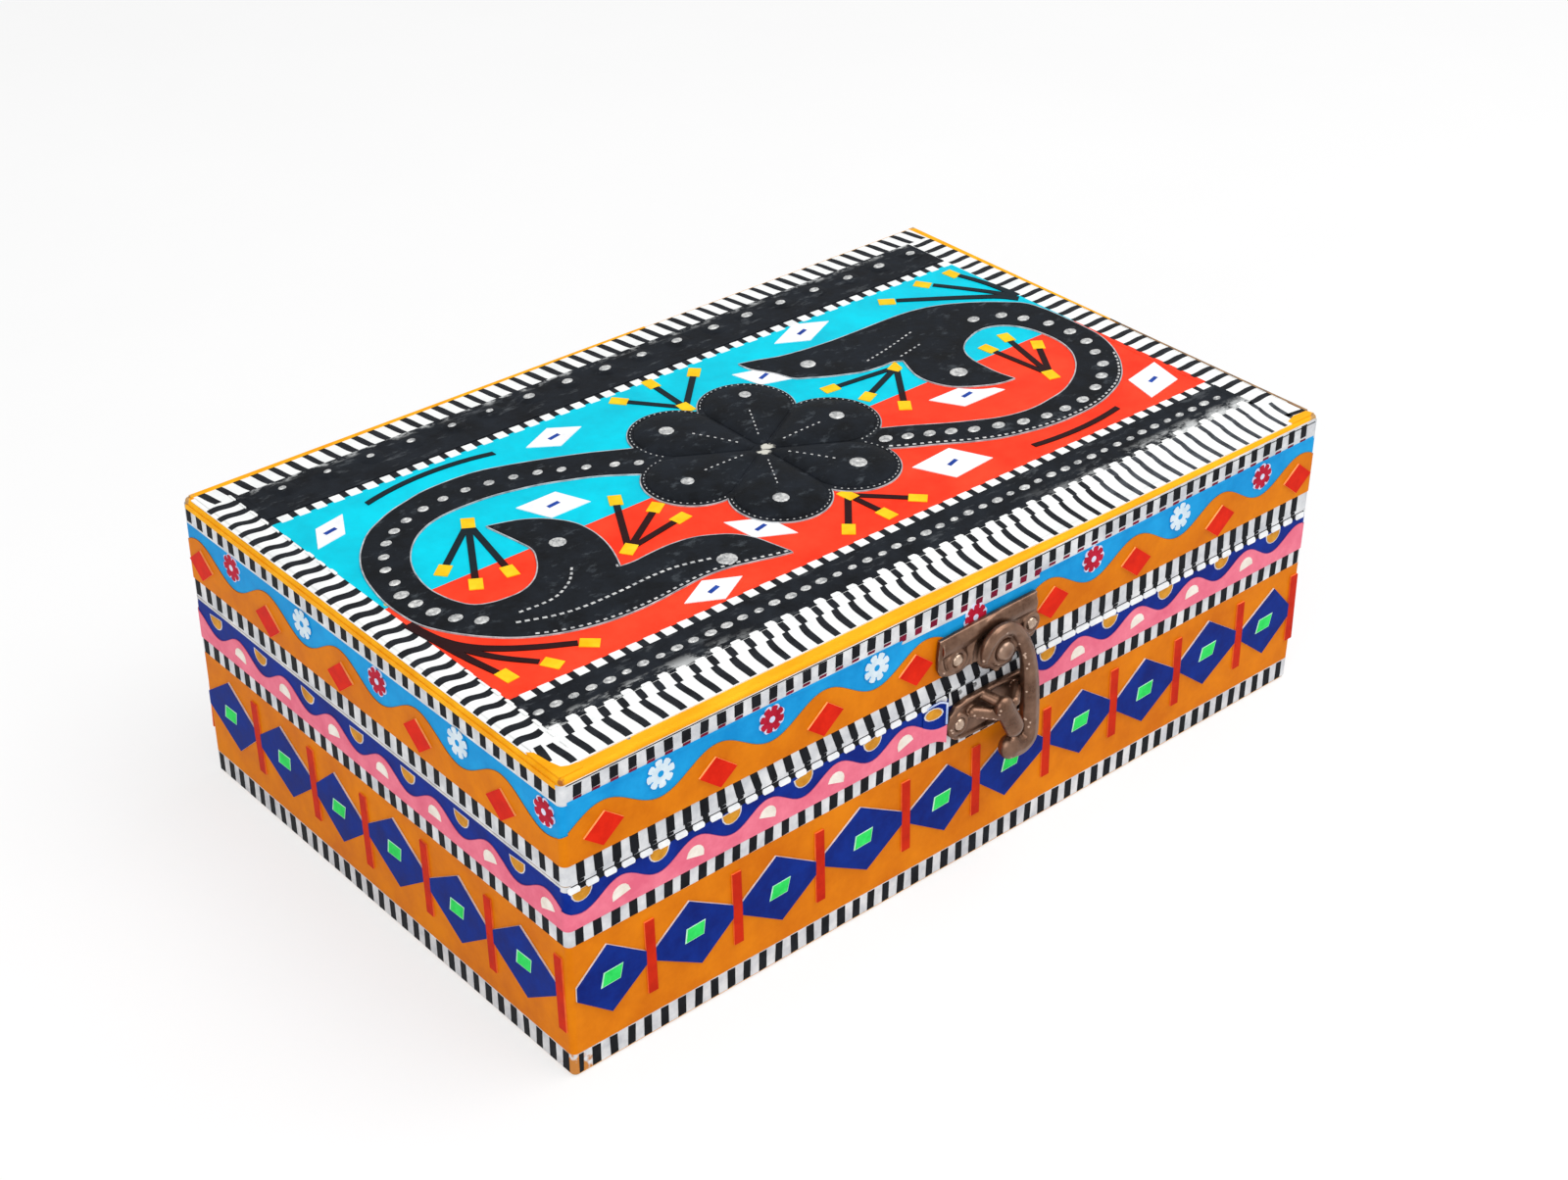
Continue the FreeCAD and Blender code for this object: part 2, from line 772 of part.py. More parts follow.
# Black embossed flower in the middle
flower_edges = []
for petal in range(FLOWER_PETALS):
    step = 2 * math.pi / FLOWER_PETALS
    corners = []
    for reach, angle in (
        (size.petal_tip - size.petal_depth, (petal - 0.5) * step),
        (size.petal_tip, petal * step),
        (size.petal_tip - size.petal_depth, (petal + 0.5) * step),
    ):
        corners.append(on_top(float(reach) * math.cos(angle), float(reach) * math.sin(angle)))
    flower_edges.append(Part.Arc(*corners).toShape())
flower = node("top_black_flower", fixed("top_black_flower", [top_plate(flower_edges, size.emboss_thick)]))

# Black embossed scroll: outer edge, outer leaf, inner leaf, inner edge
SCROLL = [
    [(-20, 20), (-40, 30.5), (-66, 38), (-92, 31), (-106.5, 7), (-105, -13.5), (-90, -31),
     (-67, -35.8), (-46, -35.6), (-27, -41.5)],
    [(-27, -41.5), (-32, -28), (-45, -20), (-61, -19.8)],
    [(-61, -19.8), (-56, -3.7), (-61, 9.5), (-73.6, 14.6)],
    [(-73.6, 14.6), (-71, 1), (-80, -11.2), (-91.5, -10.5), (-97.2, 2.3), (-90, 19.5), (-74, 26.3),
     (-55, 22.5), (-34, 11.5), (-20, 6)],
]
for side, turned in (("left", False), ("right", True)):
    edges = []
    for run in SCROLL:
        drawn = half_turn(run) if turned else run
        edges.append(curve([on_top(x, y) for x, y in drawn]))
    edges.append(Part.makeLine(edges[-1].lastVertex().Point, edges[0].firstVertex().Point))
    blank = fixed(f"{side}_scroll_blank", [top_plate(edges, size.emboss_thick)])
    node(f"top_{side}_black_scroll", cut(f"top_{side}_black_scroll", blank, flower))

# Cut-outs on the films are trimmed where they would run under the black sheet
doc.recompute()
black_shapes = [obj.Shape for obj in nodes[-3:]]


def trimmed(solid):
    return solid.cut(black_shapes).Solids


# White diamonds, cut by eye: the middle of each and its two half diagonals
TOP_DIAMONDS = [
    ((-102.2, 36.1), (6.5, 4.9), (-2.1, 3.1)),
    ((-35.2, 38.8), (8.5, -0.1), (1.3, 4.7)),
    ((-55.2, 12.3), (7.7, -4.5), (4, 4.6)),
    ((25.7, 29.6), (5.7, -6), (3.7, 3)),
    ((50, 42.2), (10, 0.3), (1.3, 5)),
    ((-24.5, -27.6), (5.1, -7.4), (4.2, 2.4)),
    ((-50.3, -41.3), (8.7, 0.2), (0.3, 4.6)),
    ((58.8, -11.8), (9.5, -4.2), (4.7, 4)),
    ((31.4, -34.6), (9.2, -4.7), (4.3, 5.8)),
    ((101.5, -37), (7.6, 6.4), (-5, 4)),
]
white_diamonds = []
for middle, long_way, short_way in TOP_DIAMONDS:
    corners = []
    for way, sign in ((long_way, 1), (short_way, 1), (long_way, -1), (short_way, -1)):
        corners.append(on_top(middle[0] + sign * way[0], middle[1] + sign * way[1]))
    white_diamonds += trimmed(top_plate(polygon(corners), size.film_thick))
node("top_white_diamonds", fixed("top_white_diamonds", white_diamonds))

# Sprays: the foot of three black stems, the yellow bud at the end of each, and
# whether the foot has a bud of its own
SPRAYS = [
    ((-0.4, 29.6), [(-11.3, 43.2), (0.7, 45.2), (13.3, 43)], True),
    ((-75.6, 18.4), [(-92, 4.9), (-89.7, -4.7), (-80.6, -5.1)], True),
    ((-54, -15.2), [(-42.7, 4.4), (-37.5, -4.4), (-36, -12)], True),
    ((1.3, -29.6), [(-9.3, -41.5), (2.4, -42), (13.1, -41.5)], True),
    ((55.5, 11.2), [(34.4, 13.4), (38.7, 4), (42.7, -5.6)], True),
    ((83.3, -17.9), [(81.3, 3), (89.6, 4.6), (93, -3.8)], True),
    ((-107.6, -20), [(-106, -39), (-95.7, -41.5), (-84.7, -40.4)], False),
    ((107.6, 22), [(80, 41), (95, 42.6), (106, 42.2)], False),
]


def strip(start, stop, width):
    """A flat strip with square ends."""
    along = (stop - start).normalize()
    across = Vector(-along.y, along.x, 0) * float(width) / 2
    corners = [start - across, stop - across, stop + across, start + across]
    return top_plate(polygon(corners), size.film_thick)


def bud(spot, along):
    """A yellow bud that lies along its stem."""
    half = along * float(size.bud_length) / 2
    return strip(spot - half, spot + half, size.bud_width)


spray_stems = []
spray_buds = []
for drawn_foot, drawn_tips, foot_bud in SPRAYS:
    foot = on_top(*drawn_foot)
    stems = []
    ways = []
    for tip in [on_top(*spot) for spot in drawn_tips]:
        along = (tip - foot).normalize()
        ways.append(along)
        stems.append(strip(foot, tip - along * float(size.bud_length) / 2, size.stem_width))
        spray_buds += trimmed(bud(tip, along))
    spread = stems[0].multiFuse(stems[1:]).removeSplitter()
    if foot_bud:
        root = bud(foot, ways[1])
        spread = spread.cut(root)
        spray_buds += trimmed(root)
    spray_stems += trimmed(spread)
node("top_spray_stems", fixed("top_spray_stems", spray_stems))
node("top_spray_buds", fixed("top_spray_buds", spray_buds))

# Two thin black arcs beside the scrolls: start, highest point and end
TOP_ARCS = [
    [(-88.7, 41.4), (-70, 44.2), (-51.3, 41.8)],
    [(52.7, -41.4), (68, -42.8), (83.3, -41.4)],
]
black_arcs = []
for run in TOP_ARCS:
    rails = []
    for side in (-1, 1):
        lift = Vector(0, side * float(size.stem_width) / 2, 0)
        rails.append([on_top(x, y) + lift for x, y in run])
    edges = [
        Part.Arc(*rails[0]).toShape(),
        Part.makeLine(rails[0][2], rails[1][2]),
        Part.Arc(*reversed(rails[1])).toShape(),
        Part.makeLine(rails[1][0], rails[0][0]),
    ]
    black_arcs += trimmed(top_plate(edges, size.film_thick))
node("top_black_arcs", fixed("top_black_arcs", black_arcs))

# Surface hinges: a base leaf with the two outer knuckles, a lid leaf with the
# middle one, and a pin held in the base leaf
knuckle_run = size.leaf_width / 3
leaf_clear = size.knuckle_radius + size.knuckle_gap


def hinge_leaf(name, middle, way, own_knuckles, other_knuckles, spots):
    """A leaf and its knuckles; way is 1 above the pin and -1 below it."""
    back = half_depth + seat
    left = middle - size.leaf_width / 2
    foot = parting if way > 0 else parting - size.leaf_height
    plate = block(name + "_plate", size.leaf_width, size.leaf_thick, size.leaf_height, left, back, foot)
    notches = [
        block(
            f"{name}_notch_{place}",
            knuckle_run + 2 * size.knuckle_gap, 4 * size.knuckle_radius, 2 * leaf_clear,
            left + place * knuckle_run - size.knuckle_gap, back - size.knuckle_radius, parting - leaf_clear,
        )
        for place in other_knuckles
    ]
    barrels = [
        rod(
            f"{name}_knuckle_{place}", size.knuckle_radius,
            knuckle_run - (size.knuckle_gap if len(own_knuckles) == 1 else 0),
            left + place * knuckle_run + (size.knuckle_gap / 2 if len(own_knuckles) == 1 else 0),
            hinge_axis_y, parting, ALONG_X,
        )
        for place in own_knuckles
    ]
    open_plate = cut(name + "_open", plate, group(name + "_notches", notches))
    solid = fused(name + "_solid", [open_plate, *barrels])
    bore = rod(
        name + "_bore", size.hinge_pin_radius + size.running_clear, size.leaf_width + 2 * OVERRUN,
        left - OVERRUN, hinge_axis_y, parting, ALONG_X,
    )
    holes = [
        rod(f"{name}_hole_{place}", size.nail_shank + size.hole_clear, 2 * size.leaf_thick, x,
            back - size.leaf_thick / 2, z, ALONG_Y)
        for place, (x, z) in enumerate(spots)
        if abs(float(x) - float(middle)) < float(size.leaf_width) / 2
    ]
    return node(name, cut(name, solid, group(name + "_holes", [bore, *holes])))


for side, middle in hinge_places.items():
    hinge_leaf(f"{side}_hinge_base_leaf", middle, -1, (0, 2), (1,), hinge_spots["base"])
    hinge_leaf(f"{side}_hinge_lid_leaf", middle, 1, (1,), (0, 2), hinge_spots["lid"])
    node(f"{side}_hinge_pin", rod(
        f"{side}_hinge_pin", size.hinge_pin_radius, size.leaf_width, middle - size.leaf_width / 2,
        hinge_axis_y, parting, ALONG_X))


def sketch(body, name, role):
    """A sketch on one of a body's own planes."""
    drawing = body.newObject("Sketcher::SketchObject", name)
    plane = next(feature for feature in body.Origin.OriginFeatures if feature.Role == role)
    drawing.AttachmentSupport = [(plane, "")]
    drawing.MapMode = "FlatFace"
    return drawing


def pin_point(drawing, item, spot, x, y):
    """Hold a point of the sketch at formulas on the sheet."""
    for kind, length in (("DistanceX", x), ("DistanceY", y)):
        length = as_dim(length)
        place = drawing.addConstraint(Sketcher.Constraint(kind, -1, 1, item, spot, length.value))
        drawing.setExpression(f"Constraints[{place}]", length.formula)


def circle(drawing, x, y, radius):
    x, y, radius = as_dim(x), as_dim(y), as_dim(radius)
    ring = Part.Circle(Vector(x.value, y.value, 0), Vector(0, 0, 1), radius.value)
    item = drawing.addGeometry(ring, False)
    pin_point(drawing, item, 3, x, y)
    place = drawing.addConstraint(Sketcher.Constraint("Radius", item, radius.value))
    drawing.setExpression(f"Constraints[{place}]", radius.formula)


def add_arc(drawing, middle, first, last):
    """An arc from first round to last, turning left."""
    start = math.atan2(first.y - middle.y, first.x - middle.x)
    stop = math.atan2(last.y - middle.y, last.x - middle.x)
    ring = Part.Circle(middle, Vector(0, 0, 1), (first - middle).Length)
    return drawing.addGeometry(Part.ArcOfCircle(ring, start, stop), False)


def outline(drawing, corners):
    """A closed outline. A corner with a radius leads on by an arc, which turns
    left where the radius is positive and right where it is negative. A corner
    marked DOME leads on by an arc about a point on the upright axis."""
    ends = []
    for place, corner in enumerate(corners):
        here = Vector(float(corner[0]), float(corner[1]), 0)
        after = corners[(place + 1) % len(corners)]
        there = Vector(float(after[0]), float(after[1]), 0)
        if len(corner) == 2:
            drawing.addGeometry(Part.LineSegment(here, there), False)
            ends.append((1, 2))
            continue
        if corner[2] is DOME:
            level = (there.y ** 2 - here.y ** 2 - here.x ** 2) / (2 * (there.y - here.y))
            item = add_arc(drawing, Vector(0, level, 0), here, there)
            drawing.addConstraint(Sketcher.Constraint("PointOnObject", item, 3, -2))
            ends.append((1, 2))
            continue
        radius = as_dim(corner[2])
        chord = there - here
        left = Vector(-chord.y, chord.x, 0).normalize()
        rise = math.sqrt(max(radius.value ** 2 - chord.Length ** 2 / 4, 0))
        turn = 1 if radius.value > 0 else -1
        middle = (here + there) / 2 + left * rise * turn
        first, last = (here, there) if turn > 0 else (there, here)
        item = add_arc(drawing, middle, first, last)
        size_place = drawing.addConstraint(Sketcher.Constraint("Radius", item, abs(radius.value)))
        drawing.setExpression(f"Constraints[{size_place}]", (radius * float(turn)).formula)
        ends.append((1, 2) if turn > 0 else (2, 1))
    for place, corner in enumerate(corners):
        before = (place - 1) % len(corners)
        drawing.addConstraint(
            Sketcher.Constraint("Coincident", before, ends[before][1], place, ends[place][0]))
        pin_point(drawing, place, ends[place][0], corner[0], corner[1])


def pad(body, name, drawing, length, lift=0):
    """Material from a sketch, which is lifted off its plane first."""
    drawing.setExpression("AttachmentOffset.Base.z", as_dim(lift).formula)
    feature = body.newObject("PartDesign::Pad", name)
    feature.Profile = drawing
    bind(feature, Length=length)
    return feature


def pocket(body, name, drawing, length, lift=0):
    """A hollow from a sketch lifted to this height, going back to the plane."""
    drawing.setExpression("AttachmentOffset.Base.z", as_dim(lift).formula)
    feature = body.newObject("PartDesign::Pocket", name)
    feature.Profile = drawing
    bind(feature, Length=length)
    return feature


latch_back = -half_depth - seat


# Upper latch plate: a bar with a round lobe for the pivot, nailed to the lid
upper = doc.addObject("PartDesign::Body", "latch_upper_plate")
drawing = sketch(upper, "upper_outline", "XZ_Plane")
left_end = size.upper_plate_shift - size.upper_plate_width / 2
right_end = size.upper_plate_shift + size.upper_plate_width / 2
low = -size.upper_plate_below
corner = size.upper_plate_corner
outline(drawing, [
    (left_end, size.upper_plate_above),
    (left_end, low + corner, corner),
    (left_end + corner, low),
    (right_end - corner, low, corner),
    (right_end, low + corner),
    (right_end, size.upper_plate_above),
])
pad(upper, "upper_bar", drawing, size.latch_plate_thick)
drawing = sketch(upper, "upper_lobe_outline", "XZ_Plane")
circle(drawing, 0, 0, size.upper_plate_lobe)
pad(upper, "upper_lobe", drawing, size.latch_plate_thick)
drawing = sketch(upper, "upper_hole_outline", "XZ_Plane")
for nail_x in upper_nail_x:
    circle(drawing, nail_x, size.upper_nail_rise, size.nail_shank + size.hole_clear)
circle(drawing, 0, 0, size.rivet_shank)
pocket(upper, "upper_holes", drawing, 2 * size.latch_plate_thick, 1.5 * size.latch_plate_thick)
move(upper, size.latch_shift, latch_back, pivot_height)
node("latch_upper_plate", upper)

# Lower latch plate: a bar with round ends, and a keeper with a hanging head
lower = doc.addObject("PartDesign::Body", "latch_lower_plate")
drawing = sketch(lower, "lower_outline", "XZ_Plane")
tall = size.lower_plate_height / 2
run = size.lower_plate_width / 2 - tall
outline(drawing, [
    (-run, tall, tall),
    (-run - tall, as_dim(0), tall),
    (-run, -tall),
    (run, -tall, tall),
    (run + tall, as_dim(0), tall),
    (run, tall),
])
pad(lower, "lower_bar", drawing, size.latch_plate_thick)
drawing = sketch(lower, "stem_outline", "XZ_Plane")
stem = size.keeper_stem_width / 2
stem_top = tall - size.keeper_inset
outline(drawing, [
    (size.keeper_shift - stem, stem_top - size.keeper_stem_height),
    (size.keeper_shift + stem, stem_top - size.keeper_stem_height),
    (size.keeper_shift + stem, stem_top),
    (size.keeper_shift - stem, stem_top),
])
pad(lower, "keeper_stem", drawing, size.latch_plate_thick + size.keeper_reach)
drawing = sketch(lower, "head_outline", "XZ_Plane")
head = size.keeper_head_width / 2
head_foot = stem_top - size.keeper_head_height
outline(drawing, [
    (size.keeper_shift - head, head_foot + head, head),
    (size.keeper_shift, head_foot, head),
    (size.keeper_shift + head, head_foot + head),
    (size.keeper_shift + head, stem_top),
    (size.keeper_shift - head, stem_top),
])
pad(lower, "keeper_head", drawing, size.keeper_head_thick,
    size.latch_plate_thick + size.keeper_reach - size.keeper_head_thick)
drawing = sketch(lower, "lower_hole_outline", "XZ_Plane")
for way in (-1, 1):
    circle(drawing, way * size.lower_nail_spacing / 2, 0, size.nail_shank + size.hole_clear)
pocket(lower, "lower_holes", drawing, 2 * size.latch_plate_thick, 1.5 * size.latch_plate_thick)
move(lower, size.latch_shift, latch_back, lower_plate_height)
node("latch_lower_plate", lower)

# Hook: an eye on the rivet, an arm that sweeps right and down, and a curled tip
hook = doc.addObject("PartDesign::Body", "latch_hook")
hub_foot = size.latch_plate_thick + size.hook_gap
arm_foot = hub_foot + size.hook_stand_off
drawing = sketch(hook, "hub_outline", "XZ_Plane")
circle(drawing, 0, 0, size.hook_dish)
pad(hook, "hub", drawing, size.hook_stand_off, hub_foot)
drawing = sketch(hook, "eye_outline", "XZ_Plane")
circle(drawing, 0, 0, size.hook_eye)
pad(hook, "eye", drawing, size.hook_thick, arm_foot)
drawing = sketch(hook, "arm_outline", "XZ_Plane")
arm = size.hook_arm_width / 2
turn_x = size.hook_shoulder_shift
turn_z = -size.hook_shoulder
arm_x = turn_x + size.hook_shoulder
curl_x = arm_x - size.hook_curl
curl_z = -size.hook_drop
tip_x = size.hook_tip_reach + arm
tip_z = curl_z - size.hook_curl
outline(drawing, [
    (turn_x, as_dim(0) - arm),
    (turn_x, as_dim(0) + arm, -(size.hook_shoulder + arm)),
    (arm_x + arm, turn_z),
    (arm_x + arm, curl_z, -(size.hook_curl + arm)),
    (curl_x, tip_z - arm),
    (tip_x, tip_z - arm, -arm),
    (tip_x - arm, tip_z, -arm),
    (tip_x, tip_z + arm),
    (curl_x, tip_z + arm, size.hook_curl - arm),
    (arm_x - arm, curl_z),
    (arm_x - arm, turn_z, size.hook_shoulder - arm),
])
pad(hook, "arm", drawing, size.hook_thick, arm_foot)
drawing = sketch(hook, "dish_outline", "XZ_Plane")
circle(drawing, 0, 0, size.hook_dish)
pocket(hook, "dish", drawing, size.hook_dish_depth, arm_foot + size.hook_thick)
drawing = sketch(hook, "bore_outline", "XZ_Plane")
circle(drawing, 0, 0, size.rivet_shank + size.running_clear)
pocket(hook, "bore", drawing, size.hook_stand_off + size.hook_thick + 2 * OVERRUN,
       arm_foot + size.hook_thick + OVERRUN)
hook.Placement = Placement(Vector(), Rotation(Vector(0, -1, 0), float(size.hook_rest_angle)))
move(hook, size.latch_shift, latch_back, pivot_height)
node("latch_hook", hook)


def turned(name, profile):
    """A solid of revolution about the vertical axis of its own body."""
    body = doc.addObject("PartDesign::Body", name)
    drawing = sketch(body, name + "_profile", "XZ_Plane")
    outline(drawing, profile)
    feature = body.newObject("PartDesign::Revolution", name + "_turned")
    feature.Profile = drawing
    feature.ReferenceAxis = (drawing, ["V_Axis"])
    feature.Angle = 360
    return body


# Pivot rivet: a shank through the plate and the hook, with a round head
rivet_grip = hub_foot + size.hook_stand_off + size.hook_thick - size.hook_dish_depth + size.hook_gap
rivet = turned("latch_pivot_rivet", [
    (as_dim(0), as_dim(0)),
    (size.rivet_shank, as_dim(0)),
    (size.rivet_shank, rivet_grip),
    (size.rivet_head, rivet_grip),
    (size.rivet_head, rivet_grip + size.rivet_rim, DOME),
    (as_dim(0), rivet_grip + size.rivet_head_height),
])
rivet.Placement = Placement(Vector(), ALONG_MINUS_Y)
move(rivet, size.latch_shift, latch_back, pivot_height)
node("latch_pivot_rivet", rivet)

# Round-head nails, drawn once with the underside of the head at the origin
nail = turned("round_head_nail", [
    (as_dim(0), -size.nail_length),
    (size.nail_shank / 4, -size.nail_length),
    (size.nail_shank, -size.nail_length + size.nail_point),
    (size.nail_shank, as_dim(0)),
    (size.nail_head, as_dim(0), DOME),
    (as_dim(0), size.nail_head_height),
])
doc.recompute()


def nails(name, spots, face_y, turn):
    """Nails driven in at these places, head out."""
    solids = []
    for x, z in spots:
        solid = nail.Shape.copy()
        solid.Placement = Placement(Vector(float(x), float(face_y), float(z)), turn)
        solids.append(solid)
    return node(name, fixed(name, solids))


latch_face = latch_back - size.latch_plate_thick
leaf_face = half_depth + seat + size.leaf_thick
nails("latch_upper_nails", latch_upper_spots, latch_face, ALONG_MINUS_Y)
nails("latch_lower_nails", latch_lower_spots, latch_face, ALONG_MINUS_Y)
nails("hinge_base_nails", hinge_spots["base"], leaf_face, ALONG_Y)
nails("hinge_lid_nails", hinge_spots["lid"], leaf_face, ALONG_Y)

doc.recompute()
for obj in doc.Objects:
    if "Invalid" in obj.State or "Error" in obj.State:
        raise ValueError(f"{obj.Name} did not recompute")
for obj in nodes:
    if obj.Shape.isNull() or not obj.Shape.isValid() or not obj.Shape.Solids:
        raise ValueError(f"{obj.Label} has no valid solid")
    obj.Shape.exportStep(f"parts/{obj.Label}.step")
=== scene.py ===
import math
import random

import bmesh
import bpy
from mathutils import Matrix, Vector


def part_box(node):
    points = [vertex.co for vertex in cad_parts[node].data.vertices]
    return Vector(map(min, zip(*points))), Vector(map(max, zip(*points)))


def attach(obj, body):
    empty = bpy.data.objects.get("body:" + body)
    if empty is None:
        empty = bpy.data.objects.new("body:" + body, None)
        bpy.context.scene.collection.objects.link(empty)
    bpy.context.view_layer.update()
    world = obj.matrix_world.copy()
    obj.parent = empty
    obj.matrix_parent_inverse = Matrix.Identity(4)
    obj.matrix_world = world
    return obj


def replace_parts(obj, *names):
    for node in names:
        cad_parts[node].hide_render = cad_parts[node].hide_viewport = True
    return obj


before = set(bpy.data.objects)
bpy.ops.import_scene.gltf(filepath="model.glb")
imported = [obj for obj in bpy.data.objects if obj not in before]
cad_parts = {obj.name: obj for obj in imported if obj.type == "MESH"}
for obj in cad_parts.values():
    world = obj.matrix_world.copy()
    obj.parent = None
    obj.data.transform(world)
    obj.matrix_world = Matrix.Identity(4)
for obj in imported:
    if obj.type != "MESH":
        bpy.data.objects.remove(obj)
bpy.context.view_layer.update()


# The wooden trays. Base and lid are softwood boards, butt jointed, glued and
# pinned, and painted a warm yellow orange that shows along the edges and inside.
# The paint has rubbed through to bare wood on the corners that get knocked.
MM = 0.001


def tint(red, green, blue):
    """A colour given in everyday 0 to 255 values, as linear light."""
    parts = []
    for part in (red / 255, green / 255, blue / 255):
        parts.append(part / 12.92 if part <= 0.04045 else ((part + 0.055) / 1.055) ** 2.4)
    return (*parts, 1.0)


def feed(tree, node, inputs):
    """Set a node's inputs, each to a value or joined to another node's output."""
    for socket, value in inputs.items():
        if isinstance(value, bpy.types.NodeSocket):
            tree.links.new(value, node.inputs[socket])
        else:
            node.inputs[socket].default_value = value


def add_node(tree, kind, inputs=None, operation=None):
    """Add a node of one kind, with its inputs and, for a sum, what it works out."""
    node = tree.nodes.new("ShaderNode" + kind)
    if operation:
        node.operation = operation
    feed(tree, node, inputs or {})
    return node


def finish(name, dark, light, grain, rough, relief, stretch=(1, 1, 1), metal=0.0, mirror=0.04):
    """A finish whose colour, gloss and relief drift across the piece.

    grain is the size of the drift in mm, rough the least and most roughness,
    relief the depth in mm of the fine unevenness, and mirror how much it shines.
    """
    material = bpy.data.materials.new(name)
    material.use_nodes = True
    tree = material.node_tree
    place = add_node(tree, "TexCoord").outputs["Object"]
    spread = add_node(tree, "Mapping", {"Vector": place, "Scale": stretch}).outputs["Vector"]
    drift = add_node(tree, "TexNoise", {
        "Vector": spread, "Scale": 1 / (grain * MM), "Detail": 6, "Roughness": 0.65,
    }).outputs[0]
    tone = add_node(tree, "ValToRGB", {"Fac": drift})
    for stop, position, colour in zip(tone.color_ramp.elements, (0.34, 0.66), (dark, light)):
        stop.position = position
        stop.color = tint(*colour)
    gloss = add_node(tree, "MapRange", {
        "Value": drift, "From Min": 0.3, "From Max": 0.7, "To Min": rough[0], "To Max": rough[1],
    })
    fine = add_node(tree, "TexNoise", {"Vector": spread, "Scale": 5 / (grain * MM), "Detail": 4})
    uneven = add_node(tree, "Bump", {
        "Height": fine.outputs[0], "Strength": 0.6, "Distance": relief * MM,
    })
    feed(tree, tree.nodes["Principled BSDF"], {
        "Base Color": tone.outputs["Color"], "Roughness": gloss.outputs["Result"],
        "Normal": uneven.outputs["Normal"], "Metallic": metal, "Specular IOR Level": mirror,
    })
    return material


def show_over(material, mask, colour):
    """Let one more colour show over a finish, as far as a mask allows."""
    tree = material.node_tree
    shader = tree.nodes["Principled BSDF"]
    both = add_node(tree, "Mix")
    both.data_type = "RGBA"
    feed(tree, both, {0: mask, 6: shader.inputs["Base Color"].links[0].from_socket, 7: colour})
    feed(tree, shader, {"Base Color": both.outputs[2]})


def rub_through(material, spots, reach, colour):
    """Wear a finish through to what lies under it, raggedly, round some points."""
    tree = material.node_tree
    place = add_node(tree, "TexCoord").outputs["Object"]
    ragged = add_node(tree, "TexNoise", {"Vector": place, "Scale": 700, "Detail": 5})
    nearest = None
    for spot in spots:
        away = add_node(tree, "VectorMath", {0: place, 1: Vector(spot) * MM}, "DISTANCE")
        if nearest is not None:
            away = add_node(tree, "Math", {0: nearest, 1: away.outputs["Value"]}, "MINIMUM")
        nearest = away.outputs["Value"]
    uneven = add_node(
        tree, "Math", {0: ragged.outputs[0], 1: 2.4 * reach * MM, 2: nearest}, "MULTIPLY_ADD"
    )
    worn = add_node(tree, "MapRange", {
        "Value": uneven.outputs["Value"],
        "From Min": 2.3 * reach * MM, "From Max": 1.9 * reach * MM,
    })
    show_over(material, worn.outputs["Result"], colour)


def dress(material, *nodes):
    """Give CAD nodes their finish."""
    for node in nodes:
        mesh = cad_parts[node].data
        mesh.materials.clear()
        mesh.materials.append(material)


painted_wood = finish(
    "painted_wood", (240, 158, 16), (254, 184, 34), 9, (0.42, 0.6), 0.10, stretch=(0.35, 1, 1)
)
KNOCKED_CORNERS = (
    (-120, -75, 1.5), (119.6, -74.6, 79.6), (120, 75, 80), (-120, 75, 79.6),
    (120, -75, 1.5), (-120, 75, 1.5), (120, 75, 1.5),
)
DARK_CORNER = (-119.9, -74.9, 80)
rub_through(painted_wood, KNOCKED_CORNERS, 2.2, tint(186, 148, 100))
rub_through(painted_wood, (DARK_CORNER,), 1.2, tint(168, 98, 46))
dress(
    painted_wood, "base_bottom_panel", "base_front_wall", "base_back_wall", "base_left_wall",
    "base_right_wall", "lid_top_panel", "lid_front_rail", "lid_back_rail", "lid_left_rail",
    "lid_right_rail",
)


# The panel pins. Thin steel pins hold the glued butt joints of both trays;
# their heads are sunk flush and lie under the tapes.
pin_steel = finish("pin_steel", (120, 122, 124), (168, 170, 172), 2, (0.3, 0.5), 0.02, metal=1.0)
dress(pin_steel, "base_corner_pins", "base_bottom_pins", "lid_corner_pins", "lid_top_pins")


# The zebra tapes. Narrow white adhesive tape with printed black bars is wrapped
# round the base and the lid, along every edge, and stuck flat.
BAR_THICK, PRINT_THICK, PAD_THICK = 0.06, 0.05, 0.28
BAR_PITCH, BAR_CLEAR = 4.8, 1.2
TAPE_FACE = 0.3
CORNER_FLAT, CORNER_CLEAR = 1.25, 1.3
FRONT_RUN, LEFT_RUN = (CORNER_CLEAR, 238.7), (CORNER_CLEAR, 148.7)
UP = Vector((0, 0, 1))
SIDES = {
    "front": (Vector((-120, -75, 0)), Vector((1, 0, 0)), Vector((0, -1, 0)), 240),
    "right": (Vector((120, -75, 0)), Vector((0, 1, 0)), Vector((1, 0, 0)), 150),
    "back": (Vector((120, 75, 0)), Vector((-1, 0, 0)), Vector((0, 1, 0)), 240),
    "left": (Vector((-120, 75, 0)), Vector((0, -1, 0)), Vector((-1, 0, 0)), 150),
}
OUT = SIDES["front"][2]
hand = random.Random(11)


def on_side(side, along, height, off=TAPE_FACE):
    """A place on an upright side, off the bare wood by a little."""
    start, way, out, _ = SIDES[side]
    return (start + way * along + UP * height + out * off) * MM


